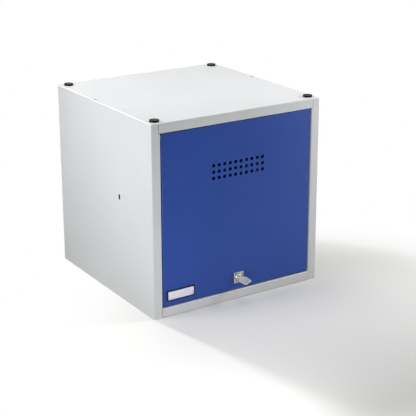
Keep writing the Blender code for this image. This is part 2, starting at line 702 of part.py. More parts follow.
def make_label(body, frame_material, card_material, window_material):
    """The label holder: a raised frame with a card behind a clear window."""
    back = DOOR_FACE - FIT_GAP
    front = DOOR_FACE - LABEL_RISE
    pocket = LABEL_BORDER - LABEL_POCKET_MARGIN
    bm = label_box(0, front, back)
    rims = [edge for edge in bm.edges if any(near(v.co.y, front) for v in edge.verts)]
    bmesh.ops.bevel(bm, geom=rims, offset=LABEL_BEVEL, offset_type="OFFSET", affect="EDGES",
                    segments=2, profile=0.5, material=-1)
    obj = add_piece("label_frame", shift_mesh(bm, body), frame_material, body, body.origin)
    opening = label_box(LABEL_BORDER, front - OVERRUN, back + OVERRUN)
    combine(obj, shift_mesh(opening, body), "DIFFERENCE", "label_opening")
    hollow = label_box(pocket, back - LABEL_POCKET_DEPTH, back + OVERRUN)
    combine(obj, shift_mesh(hollow, body), "DIFFERENCE", "label_pocket")
    card = label_box(pocket + FIT_GAP, back - CARD_THICKNESS, back)
    add_piece("label_card", shift_mesh(card, body), card_material, body, body.origin)
    window_back = back - CARD_THICKNESS - FIT_GAP
    window = label_box(pocket + FIT_GAP, window_back - WINDOW_THICKNESS, window_back)
    add_piece("label_window", shift_mesh(window, body), window_material, body, body.origin)


def rod_mesh(radius, start, end, steps):
    """A closed cylinder along the lock's axis, between two places on Y."""
    bm = bmesh.new()
    add_rod(bm, (0, (start + end) / 2, LOCK_Z), (0, 1, 0), radius, end - start, steps)
    return bm


def lock_box(size, start, end):
    """A square block on the lock's axis, between two places on Y."""
    bm = bmesh.new()
    add_box(bm, (-size / 2, start, LOCK_Z - size / 2), (size / 2, end, LOCK_Z + size / 2))
    return bm


def make_lock_housing(body, material):
    """The square head with its sunk field, and the round boss and barrel that hold the plug."""
    back = DOOR_FACE - FIT_GAP
    front = DOOR_FACE - LOCK_HEAD_RISE
    head = lock_box(LOCK_HEAD_SIZE, front, back)
    rims = [edge for edge in head.edges if any(near(v.co.y, front) for v in edge.verts)]
    bmesh.ops.bevel(head, geom=rims, offset=LOCK_HEAD_BEVEL, offset_type="OFFSET",
                    affect="EDGES", segments=2, profile=0.5, material=-1)
    obj = add_piece("lock_housing", shift_mesh(head, body), material, body, body.origin)
    field = lock_box(LOCK_HEAD_SIZE - LOCK_HEAD_RIM * 2, front - OVERRUN, back - LOCK_HEAD_FLOOR)
    combine(obj, shift_mesh(field, body), "DIFFERENCE", "lock_field")
    boss = bmesh.new()
    add_taper(boss, (0, back - LOCK_HEAD_FLOOR / 2, LOCK_Z), (0, BOSS_FRONT, LOCK_Z),
              LOCK_BOSS_BASE_RADIUS, LOCK_BOSS_RADIUS, ROUND_STEPS)
    combine(obj, shift_mesh(boss, body), "UNION", "lock_boss")
    barrel = rod_mesh(LOCK_BARREL_RADIUS, back - LOCK_HEAD_FLOOR / 2, BARREL_BACK, ROUND_STEPS)
    combine(obj, shift_mesh(barrel, body), "UNION", "lock_barrel")
    bore = rod_mesh(PLUG_RADIUS + FIT_GAP, BOSS_FRONT - OVERRUN, BARREL_BACK + OVERRUN, ROUND_STEPS)
    combine(obj, shift_mesh(bore, body), "DIFFERENCE", "lock_bore")


def make_lock_nut(body, material):
    """The hexagon nut that clamps the lock from behind the flap's face."""
    start = DOOR_FACE + SHEET + FIT_GAP
    nut = rod_mesh(NUT_RADIUS, start, start + NUT_LENGTH, 6)
    obj = add_piece("lock_nut", shift_mesh(nut, body), material, body, body.origin)
    bore = rod_mesh(LOCK_BARREL_RADIUS + FIT_GAP, start - OVERRUN, start + NUT_LENGTH + OVERRUN,
                    ROUND_STEPS)
    combine(obj, shift_mesh(bore, body), "DIFFERENCE", "nut_bore")


def keyway():
    """The slot in the plug that the key's blade goes into, upright when the lock is locked."""
    bm = bmesh.new()
    x = KEY_THICKNESS / 2 + FIT_GAP
    z = KEY_BLADE_WIDTH / 2 + FIT_GAP
    add_box(bm, (-x, BOSS_FRONT - OVERRUN, LOCK_Z - z),
            (x, BOSS_FRONT + KEY_BLADE_LENGTH + FIT_GAP, LOCK_Z + z))
    return bm


def make_plug(body, material):
    """The turning plug, with its keyway, the square that drives the cam and the screw's hole."""
    plug = rod_mesh(PLUG_RADIUS, BOSS_FRONT, BARREL_BACK, ROUND_STEPS)
    obj = add_piece("lock_plug", shift_mesh(plug, body), material, body, body.origin)
    drive = lock_box(DRIVE_SIZE, BARREL_BACK - OVERRUN, CAM_BACK - FIT_GAP)
    combine(obj, shift_mesh(drive, body), "UNION", "plug_drive")
    hole_front = SCREW_SEAT - SCREW_LENGTH - FIT_GAP
    hole = rod_mesh(SCREW_RADIUS + FIT_GAP, hole_front, CAM_BACK + OVERRUN, SMALL_ROUND_STEPS)
    combine(obj, shift_mesh(hole, body), "DIFFERENCE", "screw_hole")
    combine(obj, shift_mesh(keyway(), body), "DIFFERENCE", "keyway")


def make_stop_washer(body, material):
    """The washer whose tab limits the turn of the plug."""
    washer = rod_mesh(STOP_WASHER_RADIUS, WASHER_FRONT, WASHER_FRONT + STOP_WASHER_THICKNESS,
                      ROUND_STEPS)
    obj = add_piece("lock_stop_washer", shift_mesh(washer, body), material, body, body.origin)
    tab = bmesh.new()
    add_box(tab, (-STOP_TAB_WIDTH / 2, WASHER_FRONT, LOCK_Z),
            (STOP_TAB_WIDTH / 2, WASHER_FRONT + STOP_WASHER_THICKNESS, LOCK_Z + STOP_TAB_REACH))
    combine(obj, shift_mesh(tab, body), "UNION", "stop_tab")
    square = lock_box(DRIVE_SIZE + FIT_GAP * 2, WASHER_FRONT - OVERRUN, CAM_FRONT + OVERRUN)
    combine(obj, shift_mesh(square, body), "DIFFERENCE", "washer_square")


def make_cam(body, material):
    """The flat cam, pointing down behind the bottom rail when the lock is locked."""
    spread = math.acos((CAM_EYE_RADIUS - CAM_TIP_RADIUS) / (CAM_REACH - CAM_TIP_RADIUS))
    down = -math.pi / 2
    eye = arc((0, 0), CAM_EYE_RADIUS, down + spread, down + math.tau - spread, ARC_STEPS * 2)
    tip = arc((0, -(CAM_REACH - CAM_TIP_RADIUS)), CAM_TIP_RADIUS, down - spread, down + spread)
    bm = bmesh.new()
    add_prism(bm, [(x, CAM_FRONT, LOCK_Z + z) for x, z in eye + tip], CAM_THICKNESS, (0, 1, 0))
    obj = add_piece("lock_cam", shift_mesh(bm, body), material, body, body.origin)
    square = lock_box(DRIVE_SIZE + FIT_GAP * 2, CAM_FRONT - OVERRUN, CAM_BACK + OVERRUN)
    combine(obj, shift_mesh(square, body), "DIFFERENCE", "cam_square")


def make_cam_screw(body, material):
    """The screw that holds the cam on the plug."""
    length = SCREW_LENGTH
    profile = [(0, 0), (SCREW_RADIUS, 0), (SCREW_RADIUS, length), (SCREW_HEAD_RADIUS, length),
               (SCREW_HEAD_RADIUS, length + SCREW_HEAD_LENGTH - SCREW_HEAD_CHAMFER),
               (SCREW_HEAD_RADIUS - SCREW_HEAD_CHAMFER, length + SCREW_HEAD_LENGTH),
               (0, length + SCREW_HEAD_LENGTH)]
    obj = add_piece("cam_screw", lathe(profile, SMALL_ROUND_STEPS), material, body,
                    (0, SCREW_SEAT - length, LOCK_Z), (-math.pi / 2, 0, 0))
    smooth(obj)


def key_outline():
    """The key's outline as (out from the lock, up) points: blade, neck, shoulders and bow."""
    blade = KEY_BLADE_WIDTH / 2
    neck = KEY_NECK_WIDTH / 2
    tip = KEY_BLADE_LENGTH - KEY_BLADE_POINT
    bow = KEY_NECK_LENGTH
    end = bow + BOW_LENGTH
    upper = [(-KEY_BLADE_LENGTH, 0), (-tip, blade), (0, blade), (0, neck), (bow, neck),
             (bow + BOW_SHOULDER, BOW_WIDTH / 2)]
    upper += arc((end - BOW_CORNER, BOW_END_WIDTH / 2 - BOW_CORNER), BOW_CORNER, math.pi / 2, 0)
    lower = [(out, -up) for out, up in reversed(upper[3:])]
    lower.append((0, -blade))
    pitch = tip / (len(KEY_CUT_SHARES) + 1)
    for cut, share in enumerate(KEY_CUT_SHARES):
        middle = -pitch * (cut + 1)
        depth = min(KEY_CUT_DEPTH * share, pitch / 2)
        lower += [(middle + depth, -blade), (middle, depth - blade), (middle - depth, -blade)]
    lower.append((-tip, -blade))
    return upper + lower


def make_key(body, material):
    """The flat key, its blade in the plug up to the face of the boss."""
    out = BOSS_FRONT - FIT_GAP
    bm = bmesh.new()
    outline = [(-KEY_THICKNESS / 2, out - reach, LOCK_Z + up) for reach, up in key_outline()]
    add_prism(bm, outline, KEY_THICKNESS, (1, 0, 0))
    obj = add_piece("key", shift_mesh(bm, body), material, body, body.origin)
    hole = bmesh.new()
    end = KEY_NECK_LENGTH + BOW_LENGTH - BOW_HOLE_FROM_END
    add_rod(hole, (0, out - end, LOCK_Z), (1, 0, 0), BOW_HOLE_RADIUS, KEY_THICKNESS + OVERRUN,
            SMALL_ROUND_STEPS)
    combine(obj, shift_mesh(hole, body), "DIFFERENCE", "bow_hole")


def main():
    """Builds the locker from its carcass outwards to the key."""
    clear_scene()
    paint = {name: make_material(name) for name in COLOURS}
    carcass = Body("carcass_body", (0, 0, 0))
    flap = Body("flap_pivot", (0, PIVOT_Y, PIVOT_Z), carcass)
    lock_axis = Body("lock_axis", (0, BOSS_FRONT, LOCK_Z), flap, LOCK_TURN_AT_REST)
    key_slide = Body("key_slide", (0, BOSS_FRONT, LOCK_Z), lock_axis)
    make_wrapper(carcass, paint["body_paint"])
    make_pan(carcass, paint["body_paint"])
    make_rear_panel(carcass, paint["body_paint"])
    make_knobs(carcass, paint["knob_plastic"])
    make_brackets(carcass, paint["zinc_steel"])
    make_pins(carcass, paint["zinc_steel"])
    make_buffers(carcass, paint["rubber"])
    make_door(flap, paint["door_paint"])
    make_bushes(flap, paint["nylon"])
    make_label(flap, paint["label_plastic"], paint["card"], paint["clear_plastic"])
    make_lock_housing(flap, paint["nickel"])
    make_lock_nut(flap, paint["zinc_steel"])
    make_plug(lock_axis, paint["nickel"])
    make_stop_washer(lock_axis, paint["zinc_steel"])
    make_cam(lock_axis, paint["zinc_steel"])
    make_cam_screw(lock_axis, paint["zinc_steel"])
    make_key(key_slide, paint["nickel"])


main()
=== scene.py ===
"""A cube locker of folded sheet steel, dressed: its finer shapes, finishes, light and camera.

Metres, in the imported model's frame: +Z up, the front with its flap towards -Y. The classes work
in the locker's own sizes, where x and y run from its middle and z from the floor. ORIGIN_SHIFT
moves each finished mesh from there to the frame.
"""

import json
import logging
import math
from dataclasses import dataclass
from enum import Enum
from typing import Callable, Iterable, Sequence

import bmesh
import bpy
from bmesh.types import BMEdge, BMesh, BMFace, BMVert
from bpy.types import Material, Node, NodeOutputs, NodeSocket, NodeTree, Object
from mathutils import Matrix, Vector

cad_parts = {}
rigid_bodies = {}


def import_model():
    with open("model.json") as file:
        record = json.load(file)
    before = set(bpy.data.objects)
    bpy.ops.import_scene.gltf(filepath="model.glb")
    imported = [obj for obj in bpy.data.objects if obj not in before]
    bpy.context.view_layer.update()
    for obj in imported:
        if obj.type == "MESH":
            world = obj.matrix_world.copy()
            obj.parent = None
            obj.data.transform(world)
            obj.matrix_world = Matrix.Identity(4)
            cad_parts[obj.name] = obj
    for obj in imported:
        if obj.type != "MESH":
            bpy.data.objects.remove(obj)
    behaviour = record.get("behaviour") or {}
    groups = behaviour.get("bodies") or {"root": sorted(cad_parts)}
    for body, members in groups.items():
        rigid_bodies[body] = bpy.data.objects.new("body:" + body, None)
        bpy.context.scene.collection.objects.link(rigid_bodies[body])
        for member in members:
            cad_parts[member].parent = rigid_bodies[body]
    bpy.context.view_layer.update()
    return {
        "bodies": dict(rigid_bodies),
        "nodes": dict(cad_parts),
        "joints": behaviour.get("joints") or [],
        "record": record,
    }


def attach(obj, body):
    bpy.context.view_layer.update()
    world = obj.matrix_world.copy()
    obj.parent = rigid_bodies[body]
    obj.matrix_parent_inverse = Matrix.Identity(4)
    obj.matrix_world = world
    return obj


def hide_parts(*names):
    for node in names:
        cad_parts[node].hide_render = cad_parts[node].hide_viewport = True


LOG = logging.getLogger("cube_locker")
Point = Sequence[float]
Pair = tuple[float, float]
Triple = tuple[float, float, float]
EdgeTest = Callable[[BMEdge], bool]

ORIGIN_SHIFT = 0.02165  # where the locker's middle lies in the frame, on y
NEAR = 0.00001  # two coordinates that are closer than this are the same place
SHARP_FOLD = math.radians(30)  # an edge that turns by more can be rounded
SMOOTH_BELOW = math.radians(38)  # faces that meet at less are shaded as one surface
FLAT_ABOVE = 0.0004  # a face with a larger area keeps its own normal
LAMP_TARGET = (0.0, 0.0, 0.2)  # what the lamps shine at, near the locker's middle
ROUND_STEPS = 48  # the side faces of a round piece
SMALL_STEPS = 32  # the side faces of a small one, such as a pin
EDGE_BREAK = 2  # the strips in a rounding that only takes off an edge's sharpness
SMALL_ROUND = 3  # the strips in a small rounding
SHOWN_ROUND = 4  # the strips in one that shows
X, Y, Z = range(3)
ACROSS, INWARD, UP = (1, 0, 0), (0, 1, 0), (0, 0, 1)


class Body(Enum):
    """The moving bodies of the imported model."""

    CARCASS = "carcass"
    FLAP = "flap"
    PLUG = "plug"
    KEY = "key"


class Slot(Enum):
    """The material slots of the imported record."""

    BODY_PAINT = "body_paint"
    DOOR_PAINT = "door_paint"
    KNOB_PLASTIC = "knob_plastic"
    RUBBER = "rubber"
    ZINC_STEEL = "zinc_steel"
    NICKEL = "nickel"
    NYLON = "nylon"
    LABEL_PLASTIC = "label_plastic"
    CARD = "card"
    CLEAR_PLASTIC = "clear_plastic"


class Job(Enum):
    """What a second mesh does to a piece."""

    CUT = "DIFFERENCE"
    JOIN = "UNION"
    TRIM = "INTERSECT"


class Side(Enum):
    """Left and right, as someone who faces the locker sees them."""

    LEFT = -1
    RIGHT = 1

    @property
    def word(self) -> str:
        """The side's name in a piece's name."""
        return self.name.lower()


class Effect(Enum):
    """The shared shader effects: each one's node group and inputs, None for a vector."""

    PEEL = ("powder_peel", {"Vector": None, "Size": 700.0})
    MOTTLE = ("mottle", {"Vector": None, "Size": 100.0, "Low": 0.35, "High": 0.65})
    DUST = ("settled_dust", {"Vector": None, "Amount": 0.3})
    GRAIN = ("drawn_grain", {"Vector": None, "Stretch": None})
    TOUCH = ("touch_marks", {"Vector": None, "Centre": None, "Reach": 0.08})
    RUB = ("edge_rub", {"Vector": None, "Width": 0.0004})


@dataclass(frozen=True)
class Levels:
    """Places and thicknesses that several sub-assemblies share."""

    half_width: float = 0.225
    front: float = -0.225
    rear: float = 0.225
    height: float = 0.450
    sheet: float = 0.001
    bend_radius: float = 0.002
    bend_segments: int = 6
    fold_clearance: float = 0.002
    frame_face: float = 0.0225
    frame_return: float = 0.022
    rail_flange: float = 0.008
    knob_at: float = 0.205
    opening_half: float = 0.2025
    opening_top: float = 0.4275
    lip_front: float = -0.203
    pan_rise: float = 0.008
    door_half: float = 0.200
    door_face: float = -0.224
    door_back: float = -0.206
    door_bottom: float = 0.025
    door_top: float = 0.425
    pivot_y: float = -0.2185
    pivot_z: float = 0.417
    bush_wall: float = 0.0007
    lock_z: float = 0.054
    lock_angle: float = 70.0
    barrel_radius: float = 0.009
    boss_front: float = -0.230
    barrel_back: float = -0.2036
    cam_front: float = -0.2018
    cam_back: float = -0.1998
    pin_radius: float = 0.0025
    drive_size: float = 0.007
    fit: float = 0.0003
    overrun: float = 0.002

    @property
    def lock_turn(self) -> Matrix:
        """The turn of the lock's plug and key from locked to rest, about the lock's axis."""
        centre = Matrix.Translation((0, 0, self.lock_z))
        return centre @ Matrix.Rotation(math.radians(self.lock_angle), 4, "Y") @ centre.inverted()

    @property
    def key_shoulder(self) -> float:
        """Where the key's neck meets the lock, on y."""
        return self.boss_front - self.fit

    def pivot(self, side: Side, x: float) -> Triple:
        """A place on the flap's axis, at a distance from the locker's middle."""
        return side.value * x, self.pivot_y, self.pivot_z


@dataclass(frozen=True)
class Tag:
    """What a piece is called, the node it stands for, the body it rides on and its slot."""

    name: str
    node: str
    body: Body
    slot: Slot


# ---------------------------------------------------------------- mesh operators


def made_verts(result: dict) -> list[BMVert]:
    """The corners in an operator's result."""
    return [item for item in result["geom"] if isinstance(item, BMVert)]


def near(value: float, target: float) -> bool:
    """Whether two coordinates are the same place."""
    return abs(value - target) < NEAR


def on_plane(axis: int, place: float) -> EdgeTest:
    """A test of whether an edge lies at one place on an axis."""
    return lambda edge: all(near(vert.co[axis], place) for vert in edge.verts)


def runs_along(axis: int) -> EdgeTest:
    """A test of whether an edge runs along an axis.

    Args:
        axis: The axis's place in a vector.

    Returns:
        The test.
    """
    others = [other for other in (X, Y, Z) if other != axis]
    return lambda edge: all(near(edge.verts[0].co[other], edge.verts[1].co[other])
                            for other in others)


def facing(faces: Iterable[BMFace], way: Point) -> BMFace:
    """The first of some faces that faces a way."""
    return next(face for face in faces if near(face.normal.dot(Vector(way)), 1))


def moved(bm: BMesh, matrix: Matrix) -> BMesh:
    """The same mesh, moved as a whole."""
    bmesh.ops.transform(bm, matrix=matrix, verts=bm.verts)
    return bm


def stand(place: Point, axis: Point) -> Matrix:
    """The matrix that turns +Z to an axis and moves the origin to a place."""
    turn = Vector(UP).rotation_difference(Vector(axis)).to_matrix().to_4x4()
    return Matrix.Translation(place) @ turn


def face_out(bm: BMesh) -> None:
    """Turns all faces of a mesh outwards."""
    bmesh.ops.recalc_face_normals(bm, faces=bm.faces)


def extrude(bm: BMesh, edges: Sequence[BMEdge], step: Point
            ) -> tuple[list[BMVert], list[BMEdge]]:
    """Draws edges out into faces.

    Args:
        bm: The mesh.
        edges: The edges that are drawn out.
        step: How far they go.

    Returns:
        The new corners, and the new edges between them.
    """
    made = bmesh.ops.extrude_edge_only(bm, edges=edges)
    verts = made_verts(made)
    bmesh.ops.translate(bm, verts=verts, vec=step)
    return verts, [item for item in made["geom"] if isinstance(item, BMEdge)
                   and all(vert in verts for vert in item.verts)]


def add_block(bm: BMesh, low: Point, high: Point) -> list[BMFace]:
    """Adds a block between two corners.

    Args:
        bm: The mesh that takes the block.
        low: The block's lowest corner.
        high: Its highest corner.

    Returns:
        The block's six faces.
    """
    low, high = Vector(low), Vector(high)
    matrix = Matrix.Translation((low + high) / 2) @ Matrix.Diagonal((*(high - low), 1))
    made = bmesh.ops.create_cube(bm, size=1, matrix=matrix)
    return list({face for vert in made["verts"] for face in vert.link_faces})


def block(low: Point, high: Point) -> BMesh:
    """A mesh that holds one block.

    Args:
        low: The block's lowest corner.
        high: Its highest corner.

    Returns:
        The closed mesh.
    """
    bm = bmesh.new()
    add_block(bm, low, high)
    return bm


def add_rod(bm: BMesh, centre: Point, axis: Point, radius: float, length: float,
            steps: int) -> None:
    """Adds a closed cylinder, its middle at the centre, with some steps round its axis."""
    bmesh.ops.create_cone(bm, cap_ends=True, segments=steps, radius1=radius, radius2=radius,
                          depth=length, matrix=stand(centre, axis))


def rod(centre: Point, axis: Point, radius: float, length: float,
        steps: int = ROUND_STEPS) -> BMesh:
    """A mesh that holds one closed cylinder.

    Args:
        centre: The cylinder's middle.
        axis: The way it points.
        radius: Its radius.
        length: Its whole length.
        steps: The number of its side faces.

    Returns:
        The closed mesh.
    """
    bm = bmesh.new()
    add_rod(bm, centre, axis, radius, length, steps)
    return bm


def add_prism(bm: BMesh, outline: Iterable[Point], along: Point) -> None:
    """Adds a solid with a flat outline, extruded along a vector.

    Args:
        bm: The mesh that takes the solid.
        outline: The corners of its first face, in order.
        along: The way and distance that the face is drawn out.
    """
    face = bm.faces.new([bm.verts.new(point) for point in outline])
    made = bmesh.ops.extrude_face_region(bm, geom=[face])
    bmesh.ops.translate(bm, verts=made_verts(made), vec=along)


def arc(centre: Point, radius: float, start: float, end: float, steps: int) -> list[tuple]:
    """Points along an arc in a plane, one more than its steps, between angles in radians."""
    angles = [start + (end - start) * step / steps for step in range(steps + 1)]
    return [(centre[0] + radius * math.cos(a), centre[1] + radius * math.sin(a)) for a in angles]


def turned(profile: Sequence[Point], steps: int = ROUND_STEPS) -> BMesh:
    """A turned shape about +Z.

    Args:
        profile: Its (radius, z) points. The shape is a ring where they start off the axis.
        steps: The number of steps in the full turn.

    Returns:
        The closed mesh.
    """
    bm = bmesh.new()
    verts = [bm.verts.new((radius, 0, z)) for radius, z in profile]
    edges = [bm.edges.new(pair) for pair in zip(verts, verts[1:])]
    if profile[0][0] > 0:
        edges.append(bm.edges.new((verts[-1], verts[0])))
    bmesh.ops.spin(bm, geom=verts + edges, axis=(0, 0, 1), cent=(0, 0, 0), angle=math.tau,
                   steps=steps, use_merge=True)
    bmesh.ops.remove_doubles(bm, verts=bm.verts, dist=NEAR)
    face_out(bm)
    return bm


def lay(bm: BMesh, place: Point, axis: Point) -> BMesh:
    """The same mesh, its +Z turned to an axis and its origin moved to a place."""
    return moved(bm, stand(place, axis))


def linked(name: str, bm: BMesh) -> Object:
    """A new object of the scene that holds a mesh, which is used up.

    Args:
        name: The name of the object and its mesh.
        bm: The mesh.

    Returns:
        The object.
    """
    mesh = bpy.data.meshes.new(name)
    bm.to_mesh(mesh)
    bm.free()
    obj = bpy.data.objects.new(name, mesh)
    bpy.context.collection.objects.link(obj)
    return obj


def repeat(bm: BMesh, offsets: Iterable[Point]) -> BMesh:
    """Copies everything in a mesh to further places.

    Args:
        bm: The mesh, with the first copy in it.
        offsets: How far each further copy lies from the first.

    Returns:
        The same mesh.
    """
    source = [*bm.verts, *bm.edges, *bm.faces]
    for offset in offsets:
        made = bmesh.ops.duplicate(bm, geom=source)
        bmesh.ops.translate(bm, verts=made_verts(made), vec=offset)
    return bm


def round_off(bm: BMesh, radius: float, segments: int,
              wanted: EdgeTest = lambda edge: True) -> BMesh:
    """Rounds the edges that turn by more than a fold.

    Args:
        bm: The mesh.
        radius: The width that the rounding takes on each side.
        segments: The number of strips in each rounding.
        wanted: Says which of these edges are rounded.

    Returns:
        The same mesh.
    """
    edges = [edge for edge in bm.edges if len(edge.link_faces) == 2
             and edge.calc_face_angle() > SHARP_FOLD and wanted(edge)]
    bmesh.ops.bevel(bm, geom=edges, offset=radius, offset_type="OFFSET", affect="EDGES",
                    segments=segments, profile=0.5, material=-1, clamp_overlap=True)
    return bm


def stadium(width: float, height: float, depth: float, steps: int = 24) -> BMesh:
    """A slot's cutter with round ends, centred on the origin.

    Args:
        width: The slot's width, along x.
        height: Its whole height, along y.
        depth: The cutter's depth, along z.
        steps: The number of corners round the slot.

    Returns:
        The closed mesh.
    """
    bm = bmesh.new()
    turn = Matrix.Rotation(math.pi / steps, 4, "Z")
    bmesh.ops.create_cone(bm, cap_ends=True, segments=steps, radius1=width / 2,
                          radius2=width / 2, depth=depth, matrix=turn)
    for vert in bm.verts:
        vert.co.y += math.copysign((height - width) / 2, vert.co.y)
    return bm


class Workpiece:
    """One piece on its way from a bare mesh to a dressed object of the frame."""

    def __init__(self, tag: Tag, bm: BMesh, *finishes: Material,
                 recalculate: bool = True) -> None:
        """Makes the object.

        Args:
            tag: The piece's name, node, body and slot.
            bm: Its mesh, which is used up.
            finishes: Its materials, in the order of the faces' material numbers.
            recalculate: Whether the faces are turned outwards first.
        """
        if recalculate:
            face_out(bm)
        self.tag = tag
        self.tools: list[Object] = []
        self.obj = linked(tag.name, bm)
        for finish in finishes:
            self.obj.data.materials.append(finish)

    def thicken(self, thickness: float) -> "Workpiece":
        """Gives a folded surface its sheet, on the side away from its normals.

        Args:
            thickness: The sheet's thickness.

        Returns:
            The piece itself.
        """
        sheet = self.obj.modifiers.new("sheet", "SOLIDIFY")
        sheet.thickness = thickness
        sheet.offset = -1
        sheet.use_even_offset = True
        sheet.use_quality_normals = True
        return self

    def combine(self, bm: BMesh, job: Job) -> "Workpiece":
        """Cuts, joins or trims with another closed mesh.

        Args:
            bm: The other mesh, which is used up.
            job: What it does.

        Returns:
            The piece itself.
        """
        face_out(bm)
        tool = linked(f"{self.tag.name}_tool", bm)
        self.tools.append(tool)
        step = self.obj.modifiers.new(job.name, "BOOLEAN")
        step.operation = job.value
        step.solver = "EXACT"
        step.object = tool
        return self

    def cut(self, *cutters: BMesh) -> "Workpiece":
        """Cuts with closed meshes, one after the other.

        Args:
            cutters: The meshes, which are used up.

        Returns:
            The piece itself.
        """
        for cutter in cutters:
            self.combine(cutter, Job.CUT)
        return self

    def apply(self) -> None:
        """Fixes the modifiers' result in the mesh and removes the tools."""
        bpy.context.view_layer.update()
        graph = bpy.context.evaluated_depsgraph_get()
        old = self.obj.data
        mesh = bpy.data.meshes.new_from_object(self.obj.evaluated_get(graph), depsgraph=graph)
        self.obj.modifiers.clear()
        self.obj.data = mesh
        bpy.data.meshes.remove(old)
        mesh.name = self.tag.name
        for tool in self.tools:
            shape = tool.data
            bpy.data.objects.remove(tool)
            bpy.data.meshes.remove(shape)
        self.tools.clear()

    def flatten(self) -> None:
        """Gives each large face its own normal at all its corners, so that bends stay crisp."""
        mesh = self.obj.data
        normals = [corner.vector.copy() for corner in mesh.corner_normals]
        for face in mesh.polygons:
            if face.area > FLAT_ABOVE:
                for index in face.loop_indices:
                    normals[index] = face.normal.copy()
        mesh.normals_split_custom_set(normals)

    def dress(self) -> None:
        """Moves the piece to the frame, shades it and hands it over."""
        self.apply()
        mesh = self.obj.data
        mesh.transform(Matrix.Translation((0, ORIGIN_SHIFT, 0)))
        mesh.shade_smooth()
        mesh.set_sharp_from_angle(angle=SMOOTH_BELOW)
        weigh = self.obj.modifiers.new("flat_faces_stay_flat", "WEIGHTED_NORMAL")
        weigh.keep_sharp = True
        self.apply()
        self.flatten()
        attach(self.obj, self.tag.body.value)
        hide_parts(self.tag.node)
        LOG.info("%s rides on %s, %d faces", self.obj.name, self.tag.body.value,
                 len(self.obj.data.polygons))


# ---------------------------------------------------------------- shader effects


